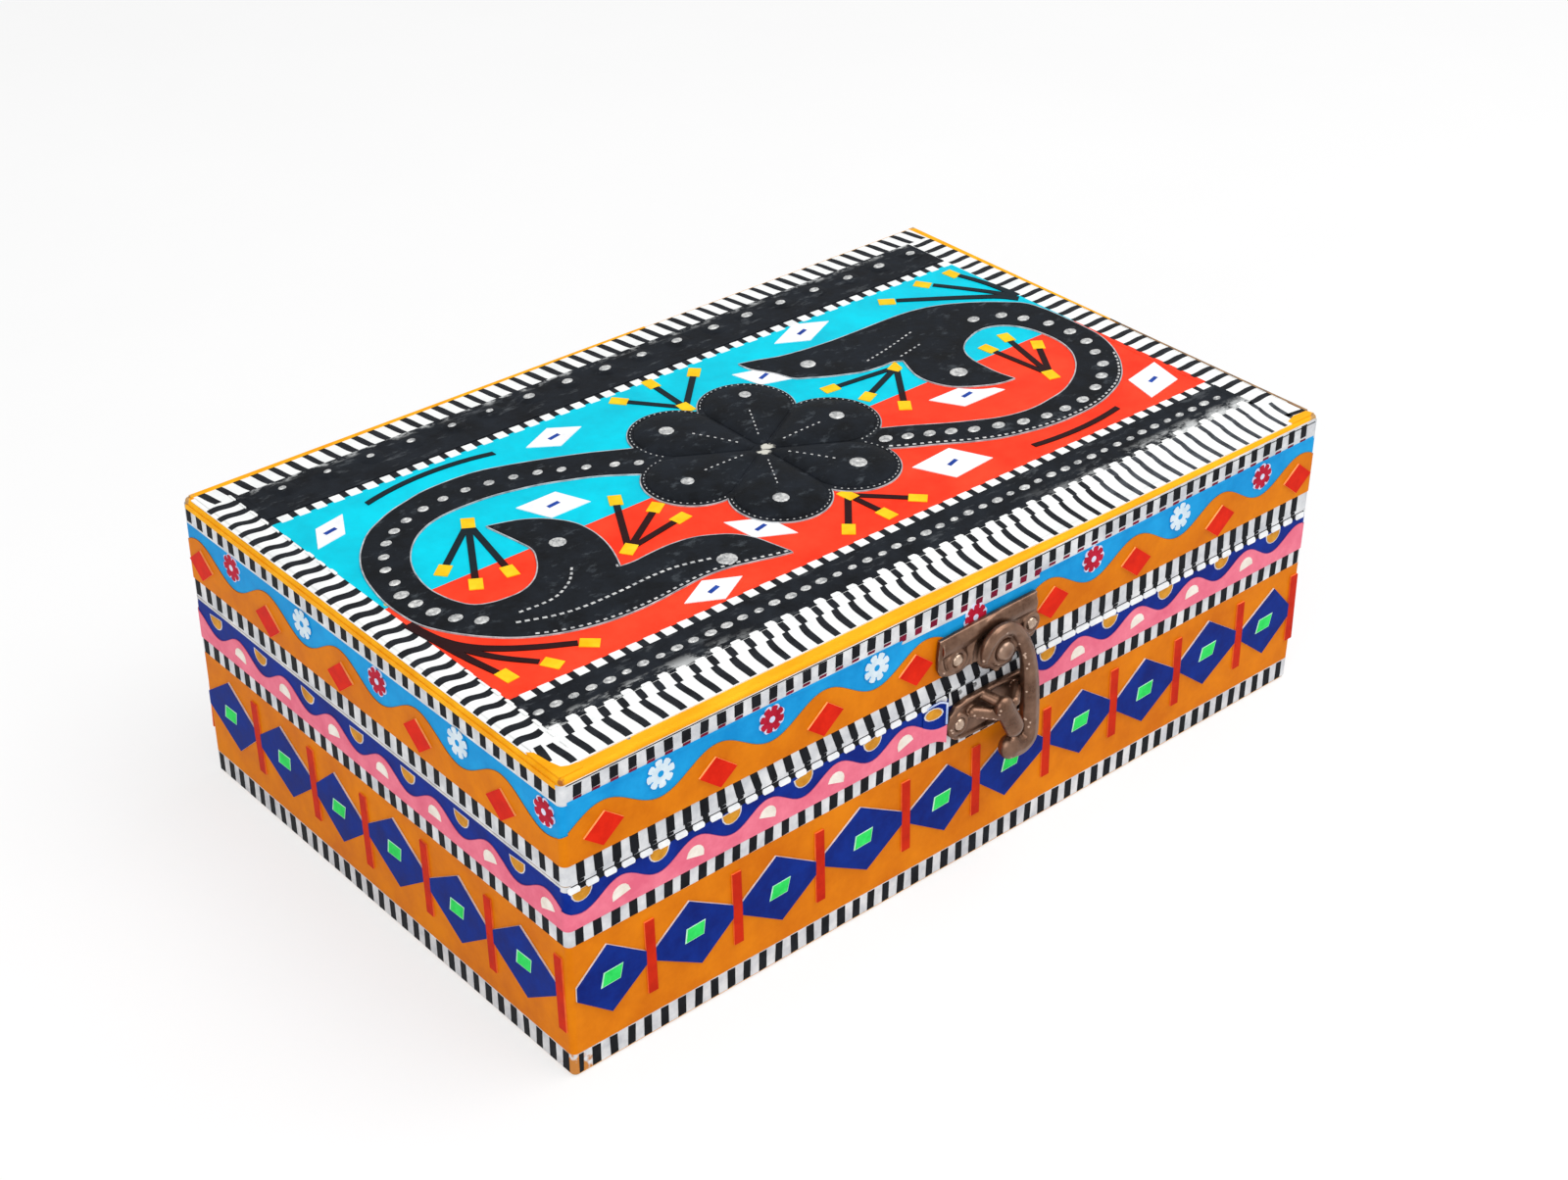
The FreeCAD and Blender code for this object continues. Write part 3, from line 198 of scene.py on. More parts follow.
def lay(bm, outlines, out, thick):
    """Cut flat shapes from thin film and lay them on a face of the box."""
    cut = [bm.faces.new([bm.verts.new(point) for point in outline]) for outline in outlines]
    raised = bmesh.ops.extrude_face_region(bm, geom=cut)
    tops = [item for item in raised["geom"] if isinstance(item, bmesh.types.BMVert)]
    bmesh.ops.translate(bm, verts=tops, vec=out * thick * MM)


def piece(name, bm, material, body, smooth=False):
    """Make a mesh one named piece that rides on a body."""
    bmesh.ops.recalc_face_normals(bm, faces=bm.faces)
    if smooth:
        for face in bm.faces:
            face.smooth = True
    mesh = bpy.data.meshes.new(name)
    bm.to_mesh(mesh)
    bm.free()
    mesh.materials.append(material)
    made = bpy.data.objects.new(name, mesh)
    bpy.context.scene.collection.objects.link(made)
    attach(made, body)
    return made


def film(name, outlines, out, thick, material, body):
    """Make one piece of flat shapes that all lie on one face of the box."""
    bm = bmesh.new()
    lay(bm, outlines, out, thick)
    return piece(name, bm, material, body)


def at(value, spot):
    """A value at a spot: one number, or pairs of spot and value to run straight between."""
    if isinstance(value, (int, float)):
        return value
    for (near, one), (far, two) in zip(value, value[1:]):
        if spot <= far:
            break
    return one + (two - one) * (spot - near) / (far - near)


def bar_places(side, shift):
    """Where the bars of a tape stand along one side, clear of its corners."""
    length = SIDES[side][3]
    count = round(length / BAR_PITCH)
    step = length / count
    places = [(place + shift) * step for place in range(count)]
    return [place for place in places if BAR_CLEAR <= place <= length - BAR_CLEAR]


def bars(bm, side, low, high, width, shift=0.5, lean=0.0, slide=0.0):
    """The black bars of one run of tape."""
    outlines = []
    limit = SIDES[side][3] - CORNER_FLAT
    for spot in bar_places(side, shift):
        half = width / 2 * hand.uniform(0.9, 1.1)
        middle = spot + hand.uniform(-0.12, 0.12) + at(slide, spot)
        tilt = at(lean, spot) + hand.uniform(-0.1, 0.1)
        foot, head = at(low, spot), at(high, spot)
        corners = (
            (middle - half - tilt, foot), (middle + half - tilt, foot + hand.uniform(0, 0.15)),
            (middle + half + tilt, head - hand.uniform(0, 0.15)), (middle - half + tilt, head),
        )
        outlines.append([
            on_side(side, min(max(along, CORNER_FLAT), limit), height)
            for along, height in corners
        ])
    lay(bm, outlines, SIDES[side][2], BAR_THICK)


def strip(side, low, high, spots, off=TAPE_FACE):
    """The outline of a strip along one side, between two lines."""
    lower = [on_side(side, spot, at(low, spot), off) for spot in spots]
    upper = [on_side(side, spot, at(high, spot), off) for spot in spots]
    return lower + upper[::-1]


tape_white = finish("tape_white", (190, 193, 198), (228, 229, 230), 6, (0.34, 0.5), 0.03)
tape_black = finish("tape_black", (14, 15, 18), (30, 32, 37), 5, (0.36, 0.55), 0.03)
dress(
    tape_white, "base_bottom_zebra_tape", "base_middle_zebra_tape", "base_rim_zebra_tape",
    "lid_lower_zebra_tape", "lid_upper_zebra_tape",
)
KNOCKED_TAPE = ((-120.4, -75.4, 2.4), (-119, -75.4, 0.8))
rub_through(tape_white, KNOCKED_TAPE, 3.6, tint(196, 128, 62))

# Each run of bars has its foot, its head and the width of a bar. On the front the
# lid's lower bars lean and those of the rim are shifted with them, and the upper
# tape climbs to the right; on the left it sits lower.
BOTTOM_BARS, MIDDLE_BARS, LID_BARS = (0.55, 5.9, 2.3), (36.35, 40.65, 2.35), (53.4, 57.95, 2.2)
UPPER_BARS = {
    "front": (((0, 74.95), (240, 75.4)), ((0, 77.95), (240, 79.0)), 2.3, 0.83),
    "left": (74.2, 77.5, 2.3, 0.5),
}
FRONT_SWAY = ((0, -0.12), (38, -0.15), (50, -0.7), (124, -0.85), (142, -0.1), (240, -0.04))
FRONT_SLIDE = [(spot, -sway) for spot, sway in FRONT_SWAY]
RIM_SLIDE = [(spot, slide + 0.4) for spot, slide in FRONT_SLIDE]
GAP_SHADE_HEAD, LID_FOOT = 52.42, 52.44
base_bars_and_gap_shade, lid_bars = bmesh.new(), bmesh.new()
for side in SIDES:
    front = side == "front"
    bars(base_bars_and_gap_shade, side, *BOTTOM_BARS, shift=0.27 if front else 0.5)
    bars(base_bars_and_gap_shade, side, *MIDDLE_BARS, shift=0.62 if front else 0.5)
    bars(lid_bars, side, *LID_BARS, 0.8 if front else 0.5, FRONT_SWAY if front else 0.0)
    bars(lid_bars, side, *UPPER_BARS.get(side, (74.95, 78.6, 2.3, 0.5)))
bars(lid_bars, "front", LID_FOOT, LID_BARS[0], 1.7, shift=0.8, slide=FRONT_SLIDE)
bars(base_bars_and_gap_shade, "front", 50.8, 52.2, 2.4, shift=0.8, slide=RIM_SLIDE)
# A thin black strip runs along the front rim up to the parting under the lid. It is painted shadow
# of the gap between lid and base, laid with the base's bars.
lay(base_bars_and_gap_shade, [strip("front", 52.0, GAP_SHADE_HEAD, FRONT_RUN)], OUT, PRINT_THICK)
piece("base_tape_bars_and_gap_shade", base_bars_and_gap_shade, tape_black, "base")
piece("lid_tape_bars", lid_bars, tape_black, "lid")

# Along the front rim the white cells of the tape bulge out as small pads, where the tape was rolled
# in over the edge of the wall; the lid's tape hangs down to them. The pads are a brighter white
# than the tape: painted highlight of the glints along the rim.
PAD_MIDDLE, PAD_HALF = 51.3, 0.84
LONG_PADS = (142, 184)
PAD_CORNERS = (
    (-1, -0.4), (-0.82, -1), (0.82, -1), (1, -0.4), (1, 0.4), (0.82, 1), (-0.82, 1), (-1, 0.4),
)
UPPER_HEAD = ((1.3, 78.6), (110, 78.7), (238.7, 79.3))
rim_pads = []
for spot in bar_places("front", 0.3):
    middle = spot + at(RIM_SLIDE, spot)
    long = 4.6 if LONG_PADS[0] < spot < LONG_PADS[1] else hand.uniform(3.1, 3.5)
    rim_pads.append([
        on_side("front", middle + across * long / 2 - up * 0.2, PAD_MIDDLE + up * PAD_HALF)
        for across, up in PAD_CORNERS
    ])
pad_white_glint = finish("pad_white_glint", (226, 229, 232), (247, 248, 248), 4, (0.3, 0.42), 0.03)
film("base_rim_tape_pads", rim_pads, OUT, PAD_THICK, pad_white_glint, "base")
hem = strip("front", LID_FOOT, 53.0, FRONT_RUN)
film("lid_tape_hem", [hem], OUT, PRINT_THICK, tape_white, "lid")
upper_head = strip("front", 78.3, UPPER_HEAD, [spot for spot, _ in UPPER_HEAD], 0.02)
film("lid_tape_head", [upper_head], OUT, PAD_THICK, tape_white, "lid")

# Along the lower edge of the upper lid tape runs a row of printed red dashes,
# one under each black bar. The blue band hides most of them, and all on the left
# side; over the latch it sits lower and leaves them clear.
CLEAR_RUN = (95, 139)
CLEAR_DASH = (73.3, 74.9)
DASHES = {
    "front": (74.25, 74.85, 0.83), "right": (74.0, 74.6, 0.5), "back": (74.0, 74.6, 0.5),
}
dash_red = finish("dash_red", (96, 12, 40), (136, 22, 52), 4, (0.34, 0.5), 0.02)
dashes = bmesh.new()
for side, (*heights, shift) in DASHES.items():
    outlines = []
    for middle in bar_places(side, shift):
        clear = side == "front" and CLEAR_RUN[0] < middle < CLEAR_RUN[1]
        low, high = CLEAR_DASH if clear else heights
        outlines.append([
            on_side(side, middle + across, height)
            for across, height in ((-1.1, low), (0.95, low), (1.1, high), (-0.95, high))
        ])
    lay(dashes, outlines, SIDES[side][2], 0.1)
piece("lid_tape_dashes", dashes, dash_red, "lid")
clear_tape = strip("front", 72.5, 73.75, CLEAR_RUN)
film("lid_clear_tape", [clear_tape], OUT, PRINT_THICK, tape_white, "lid")


# The orange field of the base. One wide strip of orange film goes round all four sides. Blue
# diamonds and thin red bars are cut from a stiff pale-cored sheet and stuck over it, so their cut
# edges show light: the pale core is partly painted highlight along those edges. A skewed green bit
# marks each diamond.
FILM_THICK = 0.2
SHEET_CORE = 0.42
SHEET_FACE = 0.05
orange_film = finish("orange_film", (206, 108, 2), (226, 130, 12), 14, (0.36, 0.5), 0.05)
blue_film = finish("blue_film", (4, 28, 110), (10, 46, 138), 8, (0.36, 0.52), 0.04)
red_bar_film = finish("red_bar_film", (184, 30, 6), (208, 44, 12), 6, (0.36, 0.5), 0.03)
red_bar_core_and_highlight = finish("red_bar_core_and_highlight", (226, 96, 44), (246, 128, 66), 4, (0.4, 0.55), 0.02)
cut_edge = finish("cut_edge", (190, 190, 196), (226, 224, 226), 4, (0.4, 0.55), 0.02)
green_film = finish("green_film", (34, 204, 84), (58, 232, 108), 4, (0.36, 0.5), 0.03)
pale_green_edge = finish("pale_green_edge", (150, 226, 180), (206, 244, 220), 3, (0.4, 0.5), 0.02)
dress(orange_film, "base_orange_field_film")


def cut_outs(node):
    """The outline of each film cut-out in a CAD node, and the way it faces."""
    bm = bmesh.new()
    bm.from_mesh(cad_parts[node].data)
    bmesh.ops.remove_doubles(bm, verts=bm.verts, dist=1e-6)
    found, done = [], set()
    for first in bm.verts:
        if first in done:
            continue
        shape, waiting = [], [first]
        done.add(first)
        while waiting:
            vert = waiting.pop()
            shape.append(vert)
            for edge in vert.link_edges:
                other = edge.other_vert(vert)
                if other not in done:
                    done.add(other)
                    waiting.append(other)
        low = [min(vert.co[axis] for vert in shape) for axis in range(3)]
        high = [max(vert.co[axis] for vert in shape) for axis in range(3)]
        thin = min(range(3), key=lambda axis: high[axis] - low[axis])
        out = Vector((0, 0, 0))
        out[thin] = 1.0 if low[thin] + high[thin] > 0 else -1.0
        for vert in shape:
            vert.tag = True
        after = {}
        for edge in bm.edges:
            if not edge.verts[0].tag or len(edge.link_faces) != 2:
                continue
            fronts = [face.normal.dot(out) > 0.9 for face in edge.link_faces]
            if fronts[0] != fronts[1]:
                one, two = edge.verts
                after.setdefault(one, []).append(two)
                after.setdefault(two, []).append(one)
        for vert in shape:
            vert.tag = False
        start = next(vert for vert in shape if vert in after)
        loop, last, vert = [], None, start
        while vert is not start or last is None:
            loop.append(vert.co.copy())
            onward = [other for other in after[vert] if other is not last]
            last, vert = vert, onward[0]
        turn = sum((a.cross(b) for a, b in zip(loop, loop[1:] + loop[:1])), Vector()).dot(out)
        found.append((loop if turn > 0 else loop[::-1], out))
    bm.free()
    return found


def centre_of(outline):
    """The middle of an outline's box."""
    low = Vector([min(point[axis] for point in outline) for axis in range(3)])
    high = Vector([max(point[axis] for point in outline) for axis in range(3)])
    return (low + high) / 2


def grown(outline, factor, shift=Vector((0, 0, 0))):
    """An outline made larger about its middle, and moved by some mm."""
    middle = centre_of(outline)
    return [middle + (point - middle) * factor + shift * MM for point in outline]


def stiff_cut_outs(node, name, core, face, body, lean=0.0):
    """Cut-outs of stiff sheet in the place of a CAD node: a light core, partly painted highlight
    along the cut edges, and a coloured face.
    """
    cores, faces = bmesh.new(), bmesh.new()
    for outline, out in cut_outs(node):
        middle, along = centre_of(outline), UP.cross(out)
        foot = [
            point + along * (point.z - middle.z) * lean - out * FILM_THICK * MM
            for point in outline
        ]
        lay(cores, [foot], out, SHEET_CORE)
        lay(faces, [[point + out * SHEET_CORE * MM for point in foot]], out, SHEET_FACE)
    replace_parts(piece(name + "_cores", cores, core, body), node)
    piece(name + "_faces", faces, face, body)


# The light cores of these cut-outs are partly painted highlight on their cut edges.
stiff_cut_outs("base_blue_diamonds", "base_diamond", cut_edge, blue_film, "base")
stiff_cut_outs("base_red_bars", "base_bar", red_bar_core_and_highlight, red_bar_film, "base", -0.035)
greens, green_edges = bmesh.new(), bmesh.new()
for outline, out in cut_outs("base_blue_diamonds"):
    along = UP.cross(out)
    shift = UP * hand.uniform(-0.3, 0.4) - along * hand.uniform(-0.2, 0.5)
    face = out * (SHEET_CORE + SHEET_FACE - FILM_THICK)
    middle = centre_of(outline) + (face + shift) * MM
    lean = hand.uniform(0.2, 0.45)
    centre = [
        middle + (along * (right * 2.4 + up * lean) + UP * (up * 1.75 + right * 0.1)) * MM
        for right, up in ((-1, -1), (1, -1), (1, 1), (-1, 1))
    ]
    lay(green_edges, [grown(centre, 1.13, UP * 0.04 - along * 0.12)], out, 0.04)
    lay(greens, [centre], out, 0.09)
piece("base_diamond_centres", greens, green_film, "base")
piece("base_diamond_centre_edges", green_edges, pale_green_edge, "base")


# The dark blue band of the base. A navy tape goes round under the rim, lapping over
# the rim tape on the left, with a pink tape cut to a wave stuck over its lower half.
# Ochre half moons sit in the hollows of the wave and cream drops on its crests.
WAVE_JOINT, LATCH_CLEAR = 124.3, 17
LAST_RUN = 655.7
EDGE_THICK = 0.05
BEGINS = (
    ("front", WAVE_JOINT, 240, -WAVE_JOINT), ("right", 0, 150, 115.7), ("back", 0, 240, 265.7),
    ("left", 0, 150, 505.7), ("front", 0, WAVE_JOINT, LAST_RUN),
)
BASE_WAVE = {"foot": 40.7, "middle": 5.8, "swing": 2.3, "start": 9.8, "pitch": 20.63}
navy_film = finish("navy_film", (4, 30, 118), (12, 48, 146), 8, (0.34, 0.5), 0.04)
pink_film = finish("pink_film", (226, 104, 130), (240, 129, 150), 7, (0.32, 0.48), 0.04)
ochre_film = finish("ochre_film", (188, 122, 30), (222, 158, 52), 4, (0.32, 0.48), 0.03)
cream_film = finish("cream_film", (226, 214, 200), (246, 240, 230), 4, (0.32, 0.48), 0.03)
dress(navy_film, "base_navy_band")
dress(pink_film, "base_pink_wave_film")


def wave_height(wave, run):
    """How high the edge of a wave stands, at a length along its tape."""
    turn = 2 * math.pi * (run - wave["start"]) / wave["pitch"]
    return wave["foot"] + wave["middle"] + wave["swing"] * math.cos(turn)


def wave_places(wave, phase):
    """Every crest (phase 0) or hollow (phase 0.5) of a wave, side by side."""
    for side, first, last, begin in BEGINS:
        turn = math.ceil((begin + first - wave["start"]) / wave["pitch"] - phase)
        while True:
            along = wave["start"] + (turn + phase) * wave["pitch"] - begin
            if along > last:
                break
            yield side, along
            turn += 1


def wave_rim(wave, low, high):
    """A line along the cut edge of a wave, from low to high about it."""
    bm = bmesh.new()
    for side, first, last, begin in BEGINS:
        near, far = max(first, CORNER_CLEAR), min(last, SIDES[side][3] - CORNER_CLEAR)
        steps = max(2, round((far - near) / 1.2))
        spots = [near + (far - near) * step / steps for step in range(steps + 1)]
        lower, upper = (
            [on_side(side, spot, wave_height(wave, begin + spot) + up, 0.36) for spot in spots]
            for up in (low, high)
        )
        lay(bm, [lower + upper[::-1]], SIDES[side][2], EDGE_THICK)
    return bm


def half_moon(side, along, height, width, tall, off, tilt):
    """A half moon of film: flat on one side, round on the other."""
    points = []
    for step in range(9):
        turn = math.pi * step / 8
        right = width / 2 * math.cos(turn)
        up = tall * (math.sin(turn) ** 0.8 - 0.5)
        points.append(on_side(
            side, along + right * math.cos(tilt) - up * math.sin(tilt),
            height + right * math.sin(tilt) + up * math.cos(tilt), off,
        ))
    return points


def clear_of_corner(side, along, reach):
    """Whether a cut-out this wide lies flat on its side, off the corners and the latch."""
    clear = reach + CORNER_CLEAR
    if not clear <= along <= SIDES[side][3] - clear:
        return False
    return side != "front" or abs(along - WAVE_JOINT) > LATCH_CLEAR + reach


MOON_HEIGHT, MOON_SIZE = 48.9, (5.0, -3.0)
DROP_HEIGHT, DROP_SIZE = 45.2, (4.9, 3.0)
moons, moon_edges, drops = bmesh.new(), bmesh.new(), bmesh.new()
for side, along in wave_places(BASE_WAVE, 0.5):
    along += hand.uniform(-0.5, 0.5)
    if clear_of_corner(side, along, 2.4):
        height = MOON_HEIGHT + hand.uniform(-0.2, 0.3)
        moon = half_moon(side, along, height, *MOON_SIZE, TAPE_FACE, hand.uniform(-0.2, 0.2))
        lay(moon_edges, [grown(moon, 1.16)], SIDES[side][2], 0.04)
        lay(moons, [moon], SIDES[side][2], 0.1)
for side, along in wave_places(BASE_WAVE, 0.0):
    along += hand.uniform(-0.4, 0.4)
    if clear_of_corner(side, along, 2.4):
        height = DROP_HEIGHT + hand.uniform(-0.2, 0.3)
        drop = half_moon(side, along, height, *DROP_SIZE, 0.5, hand.uniform(-0.35, 0.35))
        lay(drops, [drop], SIDES[side][2], 0.1)
navy_lap = strip("left", 50.8, 51.9, LEFT_RUN)
film("base_navy_lap", [navy_lap], SIDES["left"][2], 0.08, navy_film, "base")
piece("base_half_moons", moons, ochre_film, "base")
piece("base_half_moon_edges", moon_edges, cut_edge, "base")
piece("base_drops", drops, cream_film, "base")
pink_dark = finish("pink_dark", (150, 70, 120), (190, 96, 140), 5, (0.4, 0.5), 0.02)
piece("base_wave_edge", wave_rim(BASE_WAVE, -0.2, 0.14), pink_dark, "base")


# The sky blue band of the lid. A blue tape goes round the lid rails, with an
# orange tape cut to a wave over its lower half. Red diamonds lie on the crests
# of the wave and small daisies, red and white by turns, in its hollows.
LID_WAVE = {"foot": 58.0, "middle": 9.3, "swing": 3.3, "start": 17.7, "pitch": 30.86}
sky_film = finish("sky_film", (10, 138, 206), (28, 160, 224), 9, (0.34, 0.48), 0.04)
red_film = finish("red_film", (204, 24, 4), (228, 40, 14), 6, (0.36, 0.5), 0.03)
orange_core_and_highlight = finish("orange_core_and_highlight", (236, 150, 84), (252, 186, 120), 4, (0.4, 0.5), 0.02)
edge_shade = finish("edge_shade", (140, 104, 52), (180, 132, 72), 5, (0.4, 0.5), 0.02)
daisy_white = finish("daisy_white", (196, 217, 230), (226, 237, 243), 4, (0.36, 0.5), 0.03)
daisy_red = finish("daisy_red", (162, 16, 42), (194, 32, 60), 4, (0.36, 0.5), 0.03)
daisy_outline = finish("daisy_outline", (196, 204, 234), (226, 226, 244), 4, (0.36, 0.5), 0.03)
dress(sky_film, "lid_sky_blue_band", "lid_white_daisies")
dress(orange_film, "lid_orange_wave_film")
dress(daisy_outline, "lid_red_daisies")
# The red diamonds' light orange core is partly painted highlight along their cut edges.
stiff_cut_outs("lid_red_diamonds", "lid_diamond", orange_core_and_highlight, red_film, "lid")
SKY_HEADS = (
    ((1.3, 74.3), (60, 74.0), (84, 73.75), (CLEAR_RUN[0], 73.65)),
    ((CLEAR_RUN[1], 73.7), (180, 74.05), (238.7, 74.4)),
)
overlaps = [strip("front", 73.2, head, [spot for spot, _ in head]) for head in SKY_HEADS]
film("lid_sky_overlaps", overlaps, OUT, 0.12, sky_film, "lid")
piece("lid_wave_edge", wave_rim(LID_WAVE, -0.2, 0.12), edge_shade, "lid")


def around(middle, along, reach, turn):
    """The place on an upright side at some reach in mm and turn about a middle."""
    return middle + (along * math.cos(turn) + UP * math.sin(turn)) * reach * MM


def petals(middle, along, root, tip, spread, turn):
    """The blunt petals of a small daisy, each its own outline."""
    corners = (
        (root, -0.9), (tip * 0.82, -1.0), (tip * 0.97, -0.72), (tip, 0.0),
        (tip * 0.97, 0.72), (tip * 0.82, 1.0), (root, 0.9),
    )
    aims = [turn + petal * math.pi / 4 for petal in range(8)]
    return [
        [around(middle, along, reach, aim + side * spread) for reach, side in corners]
        for aim in aims
    ]


def disc(middle, along, radius, count=12):
    """A small round of film."""
    turns = [2 * math.pi * step / count for step in range(count)]
    return [around(middle, along, radius, turn) for turn in turns]


white_daisies, red_daisies, blue_dots, pale_dots = (bmesh.new() for _ in range(4))
for node, daisies, dots, reach in (
    ("lid_white_daisies", white_daisies, blue_dots, 1.02),
    ("lid_red_daisies", red_daisies, pale_dots, 0.93),
):
    for outline, out in cut_outs(node):
        middle, along = centre_of(outline), UP.cross(out)
        size = max((point - middle).length for point in outline) / MM
        turn = hand.uniform(0, 0.7)
        lay(daisies, petals(middle, along, size * 0.5, size * reach, 0.32, turn), out, 0.08)
        lay(daisies, [disc(middle, along, size * 0.66, 16)], out, 0.1)
        lay(dots, [disc(middle, along, size * 0.22)], out, 0.14)
piece("lid_white_daisy_petals", white_daisies, daisy_white, "lid")
piece("lid_red_daisy_petals", red_daisies, daisy_red, "lid")
piece("lid_daisy_blue_middles", blue_dots, sky_film, "lid")
piece("lid_daisy_pale_middles", pale_dots, daisy_outline, "lid")


# The border of the lid top. Strips of zebra film frame the panel: gently wavy
# bars on the short sides, curved bars with a step near their end along the front,
# upright bars at the back. Two strips of white squares edge the coloured field.
WOOD, TOP = 80, 80.3
EAST, NORTH = Vector((1, 0, 0)), Vector((0, 1, 0))
border_white = finish("border_white", (230, 232, 232), (249, 249, 247), 7, (0.36, 0.5), 0.04)
border_black = finish("border_black", (17, 18, 22), (38, 41, 46), 5, (0.38, 0.55), 0.04)
border_grey = finish("border_grey", (40, 43, 48), (82, 86, 92), 3, (0.4, 0.55), 0.04)
dress(
    border_white, "top_front_zebra_strip", "top_back_zebra_strip", "top_left_zebra_strip",
    "top_right_zebra_strip",
)
dress(border_black, "top_front_dotted_strip", "top_back_dotted_strip")


def on_top(points, height=TOP):
    """Places on the lid top, from x and y in mm."""
    return [Vector((x, y, height)) * MM for x, y in points]


def wavy_bar(start, across, along, thick, sway=0.0, lean=0.0, curl=0.0):
    """One bar over a border strip, from its outer edge to its inner one."""
    one, two = [], []
    for step in range(9):
        part = step / 8
        swing = sway * math.sin(2 * math.pi * part) + lean * (part - 0.5) + curl * part * part
        middle = start + across * part + along * swing
        half = thick / 2 * (0.88 + 0.12 * math.sin(math.pi * part))
        one.append((middle - along * half) * MM)
        two.append((middle + along * half) * MM)
    return one + two[::-1]


def border_bars(bm, start, along, length, across, thick, sway, lean, first=1.6, reach=1.0):
    """A row of bars over a border strip, from the first on, as far across as they reach."""
    count = round(length / BAR_PITCH)
    outlines = []
    for place in range(count):
        run = (place + 0.5) * length / count + hand.uniform(-0.15, 0.15)
        if first < run < length - 1.6:
            outlines.append(wavy_bar(
                Vector((*start, TOP)) + along * run, across * at(reach, run), along,
                thick * hand.uniform(0.88, 1.12), sway * hand.uniform(0.7, 1.3), lean,
            ))
    lay(bm, outlines, UP, BAR_THICK)


# The left, right and back rows start at a corner; the left one is cut back where it
# meets the front. Along the front each bar has its own outer edge, curl, thickness
# and step, which change from left to right, and the right half is worn grey.
LEFT_REACH = ((0, 0.7), (12, 0.85), (16, 1.0), (140, 1.0))
FRONT_EDGE = ((-120, -71.6), (-22, -71.8), (38, -73.6), (120, -74.1))
FRONT_CURL = ((-120, -0.3), (-80, 0.0), (-55, 1.6), (120, 1.8))
FRONT_THICK = ((-120, 2.05), (-30, 1.9), (40, 1.7), (85, 1.5), (120, 1.4))
FRONT_STEP = ((-120, 1.4), (10, 1.3), (70, 0.35), (120, 0.2))
STEP_LINE = -63.4
FRONT_BARS = 48
WORN_FROM = 48
LEFT_TIPS, LEFT_TIP_PITCH = 28, 136.8 / 28
HIDDEN_BY_SCROLL = (-30, 20)
top_bars, worn_bars = bmesh.new(), bmesh.new()
border_bars(
    top_bars, (-119.4, -70.4), NORTH, 136.8, EAST * 8.3, 2.2, 0.5, 0.4, first=9, reach=LEFT_REACH
)
border_bars(top_bars, (118.7, -67), NORTH, 133.4, -EAST * 8.0, 1.9, 0.15, 0.0, first=4)
border_bars(top_bars, (-118.3, 73.7), EAST, 236.6, -NORTH * 7.2, 2.0, 0.1, 1.4)
band_low, band_high = (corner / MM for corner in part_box("top_front_black_band"))
tips, tip_hand = bmesh.new(), random.Random(5)


def tip(x, y, way, half, reach):
    """The blunt end of a white cell, run over the film or sheet beside the border."""
    side = UP.cross(way)
    lay(tips, [[
        (Vector((x, y, TOP)) + way * out * reach + side * across * half) * MM
        for across, out in ((-1, 0), (1, 0), (1, 0.6), (0.72, 1), (-0.72, 1), (-1, 0.6))
    ]], UP, band_high.z - TOP + BAR_THICK)


for place in range(LEFT_TIPS):
    y = -65.6 + place * LEFT_TIP_PITCH
    if not HIDDEN_BY_SCROLL[0] < y < HIDDEN_BY_SCROLL[1]:
        tip(-111.8, y, EAST, 1.45, tip_hand.uniform(0.4, 0.9))
for place in range(FRONT_BARS):
    x = -113.8 + place * 4.83 + hand.uniform(-0.15, 0.15)
    edge, step = at(FRONT_EDGE, x), at(FRONT_STEP, x)
    curl = at(FRONT_CURL, x) * hand.uniform(0.85, 1.15)
    thick = at(FRONT_THICK, x) * hand.uniform(0.9, 1.1)
    inner = x + curl + step
    bar = [
        wavy_bar(Vector((x, edge, TOP)), NORTH * (STEP_LINE - edge), EAST, thick, 0.08, 0.0, curl),
        wavy_bar(Vector((inner, STEP_LINE + 0.02, TOP)), NORTH * 3.6, EAST, thick * 0.95, 0.0, 0.7),
    ]
    whole = 0 < place < FRONT_BARS - 1
    lay(worn_bars if x > WORN_FROM else top_bars, bar if whole else bar[:1], UP, BAR_THICK)
    if x < 106:
        tip(inner + 2.9, band_low.y - 0.1, NORTH, 1.3, tip_hand.uniform(0.5, 1.7))
left_mitre = wavy_bar(Vector((-117.8, -68.4, TOP)), Vector((1.4, 6.0, 0)), EAST, 2.1)
right_mitre = wavy_bar(Vector((112.6, -70.6, TOP)), Vector((6, -0.8, 0)), NORTH, 1.4)
lay(top_bars, [left_mitre, right_mitre], UP, BAR_THICK)
piece("top_border_bars", top_bars, border_black, "lid")
piece("top_border_tips", tips, border_white, "lid")
piece("top_worn_border_bars", worn_bars, border_grey, "lid")

# At the front, left and right the strips run out nearly to the edge of the wood.
RUN_OUTS = (
    ((-22, -71.95), (38, -73.65), (117.4, -74.15), (117.4, -71.95)),
    ((-119.5, -63), (-118.3, -63), (-118.3, 72), (-119.5, 72)),
    ((118.3, -66), (118.9, -66), (118.6, 20), (118.3, 20)),
)
run_outs = [on_top(outline, WOOD) for outline in RUN_OUTS]
film("top_border_run_outs", run_outs, UP, 0.3, border_white, "lid")

